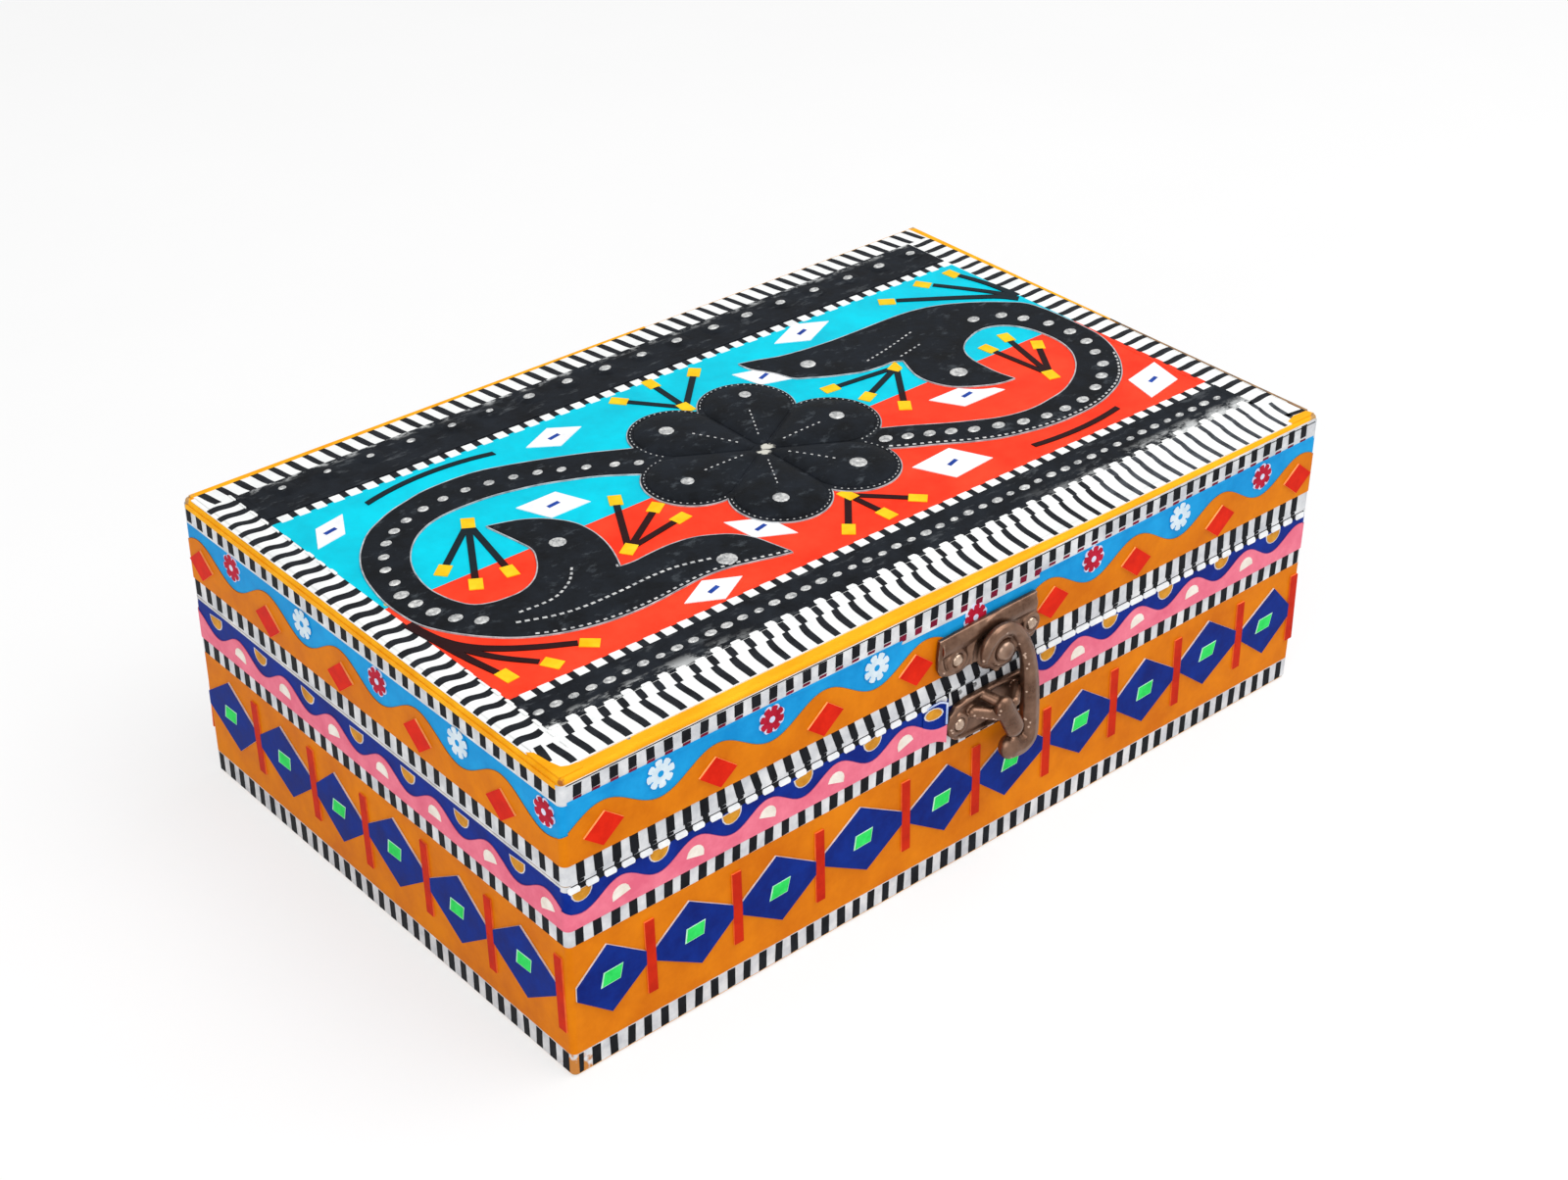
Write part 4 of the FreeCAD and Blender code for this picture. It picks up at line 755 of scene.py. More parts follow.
# Two strips of black film with white squares edge the coloured field. They and the
# films between them run a little out over the borders at both ends.
SQUARE_ROWS = ((-48.05, -45.0), (48.6, 51.6))
FIELD_LEFT = -111.1
FIELD_RIGHT = ((-60, 111.6), (66, 110.2))
FIELD_LAP, MARGIN_THICK = 0.1, 0.05
squares = []
for low, high in SQUARE_ROWS:
    for place in range(46):
        run = -107.0 + place * BAR_PITCH + hand.uniform(-0.1, 0.1)
        half = 1.5 * hand.uniform(0.94, 1.06)
        squares.append(on_top([
            (run + right * half, low + (high - low) * up)
            for right, up in ((-1, 0.04), (0.94, 0.0), (1, 0.96), (-0.94, 1.0))
        ]))
film("top_dotted_squares", squares, UP, 0.09, border_white, "lid")


def field_margins(nodes, thick):
    """Carry strips or films of the lid top a little out over both end borders."""
    bm = bmesh.new()
    for node in nodes:
        low, high = (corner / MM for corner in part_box(node))
        left, right = low.x + FIELD_LAP, high.x - FIELD_LAP
        front_right, back_right = at(FIELD_RIGHT, low.y), at(FIELD_RIGHT, high.y)
        lay(bm, [
            on_top(((FIELD_LEFT, low.y), (left, low.y), (left, high.y), (FIELD_LEFT, high.y))),
            on_top(((right, low.y), (front_right, low.y), (back_right, high.y), (right, high.y))),
        ], UP, thick)
    return bm


dotted_margins = field_margins(("top_front_dotted_strip", "top_back_dotted_strip"), MARGIN_THICK)
piece("top_dotted_margins", dotted_margins, border_black, "lid")

# The yellow orange paint of the wood laps a little over the films at the back, at the back of the
# right edge, in both front corners and along the left side. Along the front of the right edge lies
# a brown strip, darker than the paint.
PAINT_LAPS = (
    ((-118.8, 72.7), (20, 73.5), (20, 74.3), (-118.8, 74.3)),
    ((118.9, -8), (119.4, -8), (119.4, 74), (117.6, 74)),
    (
        (-119.4, -62.6), (-119.4, -74.2), (-113.5, -74.2), (-113.5, -72.2), (-115.5, -72),
        (-116.9, -71.2), (-117.7, -68.2), (-118.2, -63.8),
    ),
    ((110.7, -72.8), (114, -71.8), (118.6, -72.1), (119.2, -74.2), (110.7, -74.2)),
)
BROWN_EDGE = ((118.7, -72), (119.4, -72), (119.4, -4), (118.9, -4))
LAP_THICK = 0.4
laps = bmesh.new()
lay(laps, [on_top(outline, WOOD) for outline in PAINT_LAPS], UP, LAP_THICK)
lay(laps, [strip("left", 77.6, 78.8, LEFT_RUN, 0.05)], SIDES["left"][2], 0.34)
piece("top_paint_laps", laps, painted_wood, "lid")
brown_edge_finish = finish("brown_edge_finish", (112, 92, 76), (178, 142, 104), 3, (0.5, 0.7), 0.08)
brown_edge = [on_top(BROWN_EDGE, WOOD)]
film("top_brown_edge", brown_edge, UP, LAP_THICK, brown_edge_finish, "lid")


# The coloured field of the lid top. A red and a turquoise film meet along the
# middle, with white diamonds and sprays of thin black stems stuck over them; each
# stem ends in a small yellow bud, and each diamond carries a short blue dash.
turquoise_film = finish("turquoise_film", (0, 188, 212), (2, 210, 232), 16, (0.32, 0.46), 0.04)
lid_red_film = finish("lid_red_film", (244, 52, 26), (255, 72, 44), 16, (0.32, 0.46), 0.04)
stem_black = finish("stem_black", (18, 15, 17), (38, 34, 36), 4, (0.38, 0.52), 0.03)
bud_yellow = finish("bud_yellow", (244, 184, 10), (255, 210, 40), 5, (0.34, 0.5), 0.03)
diamond_white = finish("diamond_white", (234, 234, 236), (249, 249, 250), 5, (0.34, 0.5), 0.03)
dash_blue = finish("dash_blue", (18, 52, 138), (40, 80, 172), 3, (0.36, 0.5), 0.02)
WORN_SPOT = (-108.6, 3, 80.3)
rub_through(turquoise_film, (WORN_SPOT,), 1.4, tint(240, 190, 40))


def tinge(material, line, near, far):
    """Let the films under a thin black film show through, before and behind a line."""
    tree = material.node_tree
    place = add_node(tree, "TexCoord")
    parts = add_node(tree, "SeparateXYZ", {"Vector": place.outputs["Object"]})
    for none, full, colour in ((line + 0.4, line - 0.4, near), (line - 0.4, line + 0.4, far)):
        share = add_node(tree, "MapRange", {
            "Value": parts.outputs["Y"], "From Min": none * MM, "From Max": full * MM,
            "To Max": 0.6,
        })
        show_over(material, share.outputs["Result"], colour)


tinge(stem_black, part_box("top_red_film")[1].y / MM, tint(46, 3, 5), tint(5, 36, 44))
dress(turquoise_film, "top_turquoise_film")
dress(lid_red_film, "top_red_film")
dress(stem_black, "top_black_arcs")
dress(bud_yellow, "top_spray_buds")
dress(diamond_white, "top_white_diamonds")
dash_marks = []
for outline, _ in cut_outs("top_white_diamonds"):
    turn = math.radians(10 + hand.uniform(-9, 9))
    way = Vector((math.cos(turn), math.sin(turn), 0))
    dash_marks.append([
        centre_of(outline) + (way * right * 1.75 + UP.cross(way) * up * 0.6) * MM
        for right, up in ((-1, -1), (1, -0.9), (1, 1), (-1, 0.9))
    ])
film("top_diamond_dashes", dash_marks, UP, 0.06, dash_blue, "lid")
turquoise_margins = field_margins(("top_turquoise_film",), MARGIN_THICK)
piece("top_turquoise_margins", turquoise_margins, turquoise_film, "lid")
red_margins = field_margins(("top_red_film",), MARGIN_THICK)
piece("top_red_margins", red_margins, lid_red_film, "lid")


def evenly(line, spacing):
    """Even steps along a line of points, as place and way."""
    steps, left = [], spacing / 2
    for one, two in zip(line, line[1:]):
        length = (two - one).length
        if length == 0:
            continue
        way = (two - one) / length
        while left <= length:
            steps.append((one + way * left, way))
            left += spacing
        left -= length
    return steps


def mesh_of(curve):
    """The mesh that a curve gives; the curve itself is thrown away."""
    holder = bpy.data.objects.new("line", curve)
    mesh = bpy.data.meshes.new_from_object(holder)
    bpy.data.objects.remove(holder)
    bpy.data.curves.remove(curve)
    return mesh


def smooth_curve(points, spacing):
    """Places and ways along a smooth open line through a few points, in mm."""
    curve = bpy.data.curves.new("line", "CURVE")
    curve.dimensions = "3D"
    curve.resolution_u = 24
    spline = curve.splines.new("BEZIER")
    spline.bezier_points.add(len(points) - 1)
    for knot, point in zip(spline.bezier_points, points):
        knot.co = point
        knot.handle_left_type = knot.handle_right_type = "AUTO"
    mesh = mesh_of(curve)
    line = [vert.co.copy() for vert in mesh.vertices]
    bpy.data.meshes.remove(mesh)
    return evenly(line, spacing)


def ribbon(points, near, far):
    """A thin curved strip on the lid top, near and far mm wide at its two ends."""
    steps = smooth_curve([Vector((x, y, TOP)) for x, y in points], 1.0)
    one, two = [], []
    for count, (place, way) in enumerate(steps):
        half = UP.cross(way) * (near + (far - near) * count / (len(steps) - 1)) / 2
        one.append((place - half) * MM)
        two.append((place + half) * MM)
    return one + two[::-1]


# The sprays in two corners grow from the border in long curved stems that hug
# the black scroll; all other stems are short and straight.
CORNER_SPRAYS = (88, 20)
CURVED_STEMS = (
    (2.6, 1.9, (
        (-110.9, -6.5), (-110.2, -12), (-108.6, -18), (-105.8, -23), (-101.5, -27.5),
        (-95.5, -32), (-86.6, -37.3),
    )),
    (2.0, 1.7, ((-109.2, -17.5), (-107, -23.5), (-103.6, -30), (-96.9, -38.4))),
    (2.4, 1.7, ((-110.4, -11), (-109.6, -18), (-108.6, -26), (-106.7, -36))),
    (2.4, 1.9, ((109.4, 20.5), (106, 25), (100, 29.7), (92.5, 35), (82.2, 42))),
    (2.0, 1.7, ((109.6, 22.5), (107.5, 26.5), (103, 33.7), (96.7, 42.8))),
    (2.2, 1.7, ((110.2, 22), (109.9, 27), (109, 34), (106.7, 42.6))),
)
stems = bmesh.new()
for outline, _ in cut_outs("top_spray_stems"):
    middle = centre_of(outline) / MM
    if abs(middle.x) <= CORNER_SPRAYS[0] or abs(middle.y) <= CORNER_SPRAYS[1]:
        lay(stems, [[point - UP * FILM_THICK * MM for point in outline]], UP, FILM_THICK)
for count, (near, far, points) in enumerate(CURVED_STEMS):
    lay(stems, [ribbon(points, near, far)], UP, FILM_THICK + 0.01 * count)
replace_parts(piece("top_curved_stems", stems, stem_black, "lid"), "top_spray_stems")


# The black embossed sheet of the lid top. A flower, two forked scrolls and two
# bands are cut from soft black sheet, padded, pressed with rows of pale dots like
# stitching and set with silver studs. The front band is scuffed along its outer edge.
FLOWER = Vector((0, 1.7, 0))
SHEET, BAND = 80.8, 80.5
SHEET_EASE = 0.3
PAD_RISE = (
    (0.0, 1.0), (0.25, 0.98), (0.5, 0.9), (0.72, 0.75), (0.86, 0.55), (0.94, 0.34), (0.985, 0.14),
    (1.0, 0.0),
)
PETAL_MIDDLE = 19
black_sheet = finish("black_sheet", (13, 15, 18), (31, 35, 41), 7, (0.46, 0.7), 0.12)
worn_band = finish("worn_band", (14, 16, 20), (34, 38, 44), 7, (0.46, 0.7), 0.14)
stud_silver = finish(
    "stud_silver", (128, 130, 132), (222, 222, 220), 1.2, (0.34, 0.55), 0.02, metal=0.35
)
stitch_pale_and_highlight = finish("stitch_pale_and_highlight", (160, 162, 164), (222, 222, 220), 2, (0.45, 0.6), 0.02)
edge_pale = finish("edge_pale", (136, 140, 146), (206, 208, 210), 3, (0.4, 0.55), 0.02)


def scuff(material, scale, low, high, colour, stretch, bounds=()):
    """Light scuffs over a dark finish; bounds fade them in, as axis, from and to in mm."""
    tree = material.node_tree
    place = add_node(tree, "TexCoord").outputs["Object"]
    spread = add_node(tree, "Mapping", {"Vector": place, "Scale": stretch})
    marks = add_node(tree, "TexNoise", {
        "Vector": spread.outputs["Vector"], "Scale": scale, "Detail": 8, "Roughness": 0.72,
    })
    mask = add_node(tree, "MapRange", {
        "Value": marks.outputs[0], "From Min": low, "From Max": high,
    }).outputs["Result"]
    parts = add_node(tree, "SeparateXYZ", {"Vector": place})
    for axis, none, full in bounds:
        near = add_node(tree, "MapRange", {
            "Value": parts.outputs[axis], "From Min": none * MM, "From Max": full * MM,
        })
        kept = add_node(tree, "Math", {0: near.outputs["Result"], 1: mask}, "MULTIPLY")
        mask = kept.outputs["Value"]
    show_over(material, mask, colour)


RUBBED_HEART = ((-0.7, 0.4, 80.8), (1.6, 2.2, 80.8))
WHITE_SCUFF = tint(206, 208, 208)
scuff(black_sheet, 160, 0.56, 0.8, tint(84, 90, 96), (1, 1.6, 1))
rub_through(black_sheet, RUBBED_HEART, 1.5, tint(206, 204, 194))
scuff(worn_band, 240, 0.56, 0.8, tint(96, 100, 104), (0.5, 1.4, 1))
for scale, low, high, stretch, bounds in (
    (210, 0.5, 0.58, (0.5, 1.2, 1), (("Y", -55.6, -58.6), ("X", -50, -84))),
    (180, 0.44, 0.54, (0.6, 1.1, 1), (("Y", -55, -58.6), ("X", 30, 84))),
    (260, 0.5, 0.62, (0.7, 1.0, 1), (("Y", 64.2, 66.2),)),
):
    scuff(worn_band, scale, low, high, WHITE_SCUFF, stretch, bounds)
dress(black_sheet, "top_black_flower")
dress(worn_band, "top_front_black_band", "top_back_black_band")


def soften(made, width, angle):
    """Round the edges of a piece that are sharper than an angle."""
    eased = made.modifiers.new("eased", "BEVEL")
    eased.width = width * MM
    eased.segments = 2
    eased.limit_method = "ANGLE"
    eased.angle_limit = math.radians(angle)


def soften_node(node, width, angle):
    """Join up the loose triangles of a CAD node as it shows, and round its edges."""
    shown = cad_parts[node]
    shown.modifiers.new("welded", "WELD").merge_threshold = 1e-6
    soften(shown, width, angle)


soften_node("top_black_flower", SHEET_EASE, 60)

# Each scroll is given by four runs that meet in sharp corners: the outer edge from
# the flower to the tip of the leaf, the leaf's other edge back to the fork, the outer
# edge of the curl, and the inner edge from its tip back to the flower.
LEFT_SCROLL = (
    (
        (-20, 21), (-26.8, 24.5), (-34.3, 28.6), (-41.4, 31.8), (-47.9, 34.5), (-53.6, 36.6),
        (-58.6, 38.2), (-64.3, 39.1), (-70, 39.3), (-75.7, 39), (-81.4, 37.7), (-86.4, 36.3),
        (-91.4, 34), (-95.7, 31.5), (-100, 27.5), (-103.6, 22.9), (-106.8, 16.5), (-108.6, 10),
        (-109.6, 3.6), (-109.7, -2.1), (-108.9, -8.5), (-106.8, -13.5), (-103.6, -18.5),
        (-100, -22.8), (-95.7, -26.8), (-90.7, -30), (-85, -32.5), (-78.6, -34.3), (-71.4, -35.2),
        (-62.9, -35.2), (-55, -34.5), (-47.9, -34.1), (-41.4, -34.8), (-35.7, -36.4),
        (-30, -38.2), (-26.2, -39.2),
    ),
    (
        (-26.2, -39.2), (-27.5, -33.5), (-28.9, -28.5), (-31.4, -24.6), (-35, -21.8),
        (-39.3, -19.6), (-45, -18.5), (-51.4, -18.5), (-57.2, -18.9), (-60.4, -18.5),
    ),
    (
        (-60.4, -18.5), (-58.2, -13.5), (-56.8, -9.3), (-55.9, -4.3), (-55.9, 0), (-56.6, 3.6),
        (-58.6, 7.2), (-61.4, 10.4), (-65, 12.9), (-69.3, 14.7), (-73.2, 15.9),
    ),
    (
        (-73.2, 15.9), (-72.2, 10), (-71.4, 5), (-71.1, 0.7), (-72.9, -3.5), (-75.7, -7.5),
        (-79.3, -10.7), (-83.6, -12.5), (-87.9, -12.6), (-92.2, -11.8), (-95.4, -10),
        (-97.5, -6.4), (-98.7, -2.1), (-99.1, 2.2), (-98.4, 7.2), (-96.8, 12.2), (-93.9, 17.2),
        (-90, 21.5), (-85.7, 24.5), (-80.7, 26.5), (-75, 27.3), (-69.3, 27.3), (-63.6, 26.8),
        (-57.2, 25.4), (-51.4, 23.7), (-45.7, 21.3), (-40, 18.6), (-35, 15.4), (-30.7, 12.2),
        (-28.2, 10.4), (-20, 8),
    ),
)
RIGHT_SCROLL = (
    (
        (19.6, -13.4), (23.4, -17), (28.7, -20.5), (34.1, -23.5), (39.8, -27), (44.8, -29.8),
        (49.1, -31.8), (55.7, -33.8), (63.7, -35.4), (72.7, -35.8), (80.7, -35.2), (88.5, -33),
        (95.1, -29.8), (100.8, -24.8), (105.1, -19.1), (108, -13.4), (109.4, -8.4), (109.8, -2.7),
        (109.8, 4.5), (109.4, 11.6), (108, 17.3), (104.4, 21.2), (99.4, 25.5), (94.4, 28.9),
        (89.4, 31.5), (83.7, 33.4), (78, 34.3), (70.8, 34.6), (60.1, 34.6), (49.4, 35),
        (40.8, 36), (35.1, 37.2), (30.1, 39.1), (25, 40.6),
    ),
    (
        (25, 40.6), (25.6, 36.6), (27.7, 33), (29.5, 29.5), (30.9, 25.5), (34.1, 23.2),
        (38.4, 20.5), (42.7, 18.4), (47, 16.6), (52.7, 15.7), (57, 15.5), (59.3, 14.2),
    ),
    (
        (59.3, 14.2), (57.1, 8.7), (56.3, 5.9), (56.3, 2.3), (57.3, -1.3), (59.1, -4.5), (62, -7),
        (64.8, -8.8), (69.8, -11.1), (74.3, -11.8),
    ),
    (
        (74.3, -11.8), (73.3, -7), (73.1, -2.7), (73.4, 3), (75.2, 7.7), (78.4, 10.9), (82.7, 13),
        (87, 14.1), (90.6, 13.7), (94.8, 11.2), (97.7, 6.6), (98.8, 1.6), (99, -3.4),
        (97.7, -9.1), (94.8, -14.1), (89.8, -19.1), (84.1, -22.7), (79.1, -24.8), (72.7, -25.9),
        (67, -26.4), (61.3, -25.8), (55.6, -24.1), (50.6, -21.6), (44.8, -18.4), (39.8, -15.2),
        (34.1, -11.6), (29.1, -8.8), (21, -4),
    ),
)
SCROLL_THICK = 0.47
SCROLL_FACE = TOP + SCROLL_THICK
sheet_edges = [[point / MM for point in outline] for outline, _ in cut_outs("top_black_flower")]
for side, runs in (("left", LEFT_SCROLL), ("right", RIGHT_SCROLL)):
    edge = []
    for run in runs:
        points = [Vector((x, y, SCROLL_FACE)) for x, y in run]
        edge.append(points[0])
        edge += [
            place for place, _ in smooth_curve(points, 1.2) if (place - points[-1]).length > 0.5
        ]
    sheet_edges.append(edge)
    made = film(
        f"top_{side}_scroll", [[(point - UP * SCROLL_THICK) * MM for point in edge]], UP,
        SCROLL_THICK, black_sheet, "lid",
    )
    soften(made, SHEET_EASE, 60)
    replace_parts(made, f"top_{side}_black_scroll")


def pad(bm, outline, middle):
    """A padded patch: its outline drawn in towards its middle in steps, each higher."""
    foot = [bm.verts.new(point) for point in outline]
    top = bm.faces.new(foot)
    for (old_share, old_rise), (share, rise) in zip(PAD_RISE[::-1], PAD_RISE[-2:0:-1]):
        top = bmesh.ops.extrude_discrete_faces(bm, faces=[top])["faces"][0]
        drawn_in = share / old_share
        bmesh.ops.scale(
            bm, verts=top.verts, vec=(drawn_in, drawn_in, 1), space=Matrix.Translation(-middle)
        )
        bmesh.ops.translate(bm, verts=top.verts, vec=UP * (rise - old_rise) * MM)
    peak = bmesh.ops.poke(bm, faces=[top])["verts"][0]
    peak.co = middle + UP * PAD_RISE[0][1] * MM
    bm.faces.new(foot[::-1])


PETAL_ROUND, PETAL_ROUND_AT = 11.3, 22.5
petal_edge = [
    (reach, reach * math.tan(math.radians(30)) - 0.3) for reach in (2.6, 5, 8, 11, 14, 17)
] + [
    (PETAL_ROUND_AT + PETAL_ROUND * math.cos(turn), PETAL_ROUND * math.sin(turn))
    for turn in map(math.radians, (108, 92, 76, 60, 46, 34, 22, 11, 3))
]
petal_outline = [(reach, -half) for reach, half in petal_edge] + petal_edge[::-1]
petal_ways = [
    Vector((math.cos(turn), math.sin(turn), 0))
    for turn in (math.radians(60 * petal) for petal in range(6))
]
padded = bmesh.new()
foot = FLOWER + UP * (SHEET - 0.02)
for way in petal_ways:
    side = UP.cross(way)
    outline = [(foot + way * reach + side * half) * MM for reach, half in petal_outline]
    pad(padded, outline, (foot + way * PETAL_MIDDLE) * MM)
piece("top_flower_pads", padded, black_sheet, "lid", smooth=True)


def scatter(shape, places):
    """Copies of one small shape, set at many places in one mesh."""
    bm = bmesh.new()
    for place in places:
        before = len(bm.verts)
        bm.from_mesh(shape)
        bm.verts.ensure_lookup_table()
        bmesh.ops.transform(bm, matrix=place, verts=bm.verts[before:])
    return bm


def kept_mesh(name, bm):
    """Keep a small shape as a mesh, to be copied many times."""
    mesh = bpy.data.meshes.new(name)
    bm.to_mesh(mesh)
    bm.free()
    return mesh


def turned(name, profile, steps):
    """A small round thing turned from its profile, given as radius and height in mm."""
    bm = bmesh.new()
    line = [bm.verts.new(Vector((radius, 0, height)) * MM) for radius, height in profile]
    edges = [bm.edges.new(pair) for pair in zip(line, line[1:])]
    bmesh.ops.spin(
        bm, geom=line + edges, cent=(0, 0, 0), axis=(0, 0, 1), angle=2 * math.pi,
        steps=steps, use_merge=True,
    )
    bmesh.ops.remove_doubles(bm, verts=bm.verts, dist=1e-6)
    bmesh.ops.recalc_face_normals(bm, faces=bm.faces)
    return kept_mesh(name, bm)


STUD_PROFILE = ((0.0, 0.1), (0.2, 0.1), (0.42, 0.26), (0.72, 0.27), (0.94, 0.14), (1.0, 0.0))
BOSS_PROFILE = ((0.0, 0.42), (1.2, 0.38), (2.3, 0.26), (3.2, 0.1), (3.8, 0.0))
stud, boss = turned("stud", STUD_PROFILE, 12), turned("boss", BOSS_PROFILE, 20)
stitch_shape = bmesh.new()
bmesh.ops.create_cube(stitch_shape, size=MM)
bmesh.ops.scale(stitch_shape, vec=(1.0, 0.6, 0.26), verts=stitch_shape.verts)
top_edges = [edge for edge in stitch_shape.edges if all(vert.co.z > 0 for vert in edge.verts)]
bmesh.ops.bevel(
    stitch_shape, geom=top_edges, offset=0.1 * MM, affect="EDGES", segments=1, profile=0.5,
    material=-1,
)
stitch = kept_mesh("stitch", stitch_shape)


def stud_at(x, y, height, radius, wide=1.0):
    """Where a stud sits on the lid top."""
    place = Matrix.Translation(Vector((x, y, height)) * MM)
    return place @ Matrix.Diagonal((radius * wide, radius, 1, 1))


def stitch_at(place, way, scale):
    """Where a pressed dot lies, along its row."""
    turn = Matrix.Rotation(math.atan2(way.y, way.x), 4, "Z")
    return Matrix.Translation(place * MM) @ turn @ Matrix.Diagonal((scale, scale, 1, 1))


# Dots follow the edge of the flower and the front edge of the scrolls, and a thin pale line shows
# where each shape was cut. The dots are pale partly as painted highlight, the light caught by the
# pressed dots; on the scrolls they are kept only along the front edges, where that light falls.
PALE_LINE = 0.3
stitch_places, pale_lines = [], []
for edge in sheet_edges:
    flower = edge is sheet_edges[0]
    for place, way in evenly(edge + edge[:1], 1.7 if flower else 2.0):
        inward = UP.cross(way) * 0.62
        if flower or (way.x > 0.2 and place.y < -18 and place.x > -93):
            stitch_places.append(stitch_at(place + inward, way, 0.45 if flower else 0.95))
    outer = [
        point - UP.cross((after - before).normalized()) * PALE_LINE
        for before, point, after in zip(edge[-1:] + edge[:-1], edge, edge[1:] + edge[:1])
    ]
    for step in range(len(edge)):
        corners = edge[step - 1], outer[step - 1], outer[step], edge[step]
        pale_lines.append(on_top([(corner.x, corner.y) for corner in corners]))
film("top_sheet_edge_lines", pale_lines, UP, 0.34, edge_pale, "lid")

FLOWER_STUDS = (
    (-13.3, 21.5, 2.0), (14, 23.5, 1.6), (24.4, 0, 2.0), (12.4, -21.2, 2.3), (-13.1, -21.8, 2.1),
    (-25.1, -1.3, 1.7),
)
LEAF_STUDS = ((-39.8, -32, 2.4), (-65, -0.8, 2.0), (38.6, 28.7, 2.0), (65.5, -0.2, 2.3))
SCROLL_STUDS = (
    (-27.5, 16.3), (-32.5, 19.5), (-38.6, 22.9), (-43.9, 25.9), (-49.2, 28.5), (-55, 30.5),
    (-61.1, 32), (-67.4, 32.9), (-73.9, 32.9), (-80.2, 32), (-86.2, 30.2), (-91.1, 27.9),
    (-95.6, 24.5), (-99.4, 19.7), (-102.2, 14.8), (-103.7, 8.8), (-105.4, 3.6), (-105, -1.5),
    (-103.9, -6.8), (-101.6, -12.1), (-97.7, -16.6), (26.7, -14), (31.8, -16.6), (36.9, -19.1),
    (41.8, -21.8), (46.9, -24.8), (53, -27.3), (59.2, -30), (65.9, -31.6), (72.3, -32),
    (79.1, -31.6), (86.5, -29.1), (92.5, -25.7), (97.7, -21.3), (101.1, -15.3), (103.9, -9.5),
    (104.7, -2.7), (103.9, 4.5), (100.9, 11), (97.6, 16.2), (90.1, 19.3),
)
STUD_SINK = 0.03
stud_places = [
    stud_at(FLOWER.x + x, FLOWER.y + y, SHEET + 0.88, radius) for x, y, radius in FLOWER_STUDS
]
for x, y in SCROLL_STUDS:
    radius = hand.uniform(1.0, 1.15) if x < 0 and y > 5 else hand.uniform(1.3, 1.5)
    stud_places.append(stud_at(x, y, SCROLL_FACE - STUD_SINK, radius, 1.33))
for x, y, radius in LEAF_STUDS:
    stud_places.append(stud_at(x, y, SCROLL_FACE - STUD_SINK, radius, 1.1))
for place in range(47):
    radius = hand.uniform(0.75, 1.1)
    x, y = -109 + place * 4.68, -53 + hand.uniform(-0.2, 0.2)
    stud_places.append(stud_at(x, y, BAND - STUD_SINK, radius, 1.5))
boss_places = []
for place in range(18):
    x = -100 + place * 12.1 + hand.uniform(-0.4, 0.4)
    y = 62 - place * 0.08 + hand.uniform(-0.3, 0.3)
    radius = hand.uniform(0.7, 0.9) if place < 6 else hand.uniform(1.0, 1.3)
    boss_places.append(stud_at(x, y, BAND - 0.02, 1.0))
    stud_places.append(stud_at(x, y, BAND + 0.36, radius, 1.45))
bosses = scatter(boss, boss_places)
piece("top_band_bosses", bosses, worn_band, "lid", smooth=True)
band_margins = field_margins(("top_front_black_band", "top_back_black_band"), BAND - TOP)
piece("top_band_margins", band_margins, worn_band, "lid")
piece("top_sheet_studs", scatter(stud, stud_places), stud_silver, "lid", smooth=True)

# Rows of dots run like veins along the leaves, and up the middle of each petal.
VEINS = (
    (1.15, (
        (-92.9, -22.1), (-88.6, -23.9), (-83.6, -25.7), (-77.2, -26.8), (-68.6, -27),
        (-52.9, -26.8), (-47.9, -27.8), (-43, -29.3),
    )),
    (1.05, (
        (-90, -19.3), (-84.3, -19.8), (-80, -19.6), (-75.7, -17.8), (-72.2, -15.3), (-69, -11.5),
    )),
    (0.8, ((51, 19.8), (60, 21.6), (71.5, 24.6))),
    (0.8, ((59.5, 16), (69, 18))),
)
for scale, points in VEINS:
    for place, way in smooth_curve([Vector((x, y, SCROLL_FACE)) for x, y in points], 2.0):
        stitch_places.append(stitch_at(place, way, scale))
for way in petal_ways:
    for place, _ in evenly([way * 6, way * 20], 1.9):
        share = abs(place.length - PETAL_MIDDLE) / (PETAL_MIDDLE - petal_edge[0][0])
        height = SHEET - 0.06 + at(PAD_RISE, share)
        stitch_places.append(stitch_at(FLOWER + place + UP * height, way, 0.7))
piece("top_sheet_stitches", scatter(stitch, stitch_places), stitch_pale_and_highlight, "lid")


# The hook latch. A cast, antiqued bronze set: an upper plate nailed to the lid, a heavy curled hook
# riveted to it, and a lower plate on the base whose keeper tab the hook swings in under. Ridges are
# rubbed bright and hollows are dark, from the antique patina and partly as painted highlight and
# painted shade.
PIVOT = Vector((4.3, -75, 60.5))
CAST_METAL = {"metal": 0.85, "mirror": 0.5}
PLATE_FOOT, PLATE_FACE = 0.5, 1.7
UPPER_NAILS, LOWER_NAILS = ((-13.2, 1.8), (10.8, 1.8)), ((-11.5, -17), (11.5, -17))
latch_bronze = finish(
    "latch_bronze", (92, 66, 52), (132, 102, 84), 5, (0.25, 0.38), 0.05, **CAST_METAL
)
# Pointiness lightens the ridges and darkens the hollows: rubbed ridges and patina, and partly
# painted highlight and shade.
form = add_node(latch_bronze.node_tree, "NewGeometry").outputs["Pointiness"]
for none, full, colour in ((0.52, 0.62, tint(206, 178, 158)), (0.49, 0.4, tint(42, 28, 22))):
    share = add_node(latch_bronze.node_tree, "MapRange", {
        "Value": form, "From Min": none, "From Max": full,
    })
    show_over(latch_bronze, share.outputs["Result"], colour)


def on_latch(x, z, off):
    """A place on the latch: across and up from its rivet, and out from the wood."""
    return (PIVOT + Vector((x, -off, z))) * MM


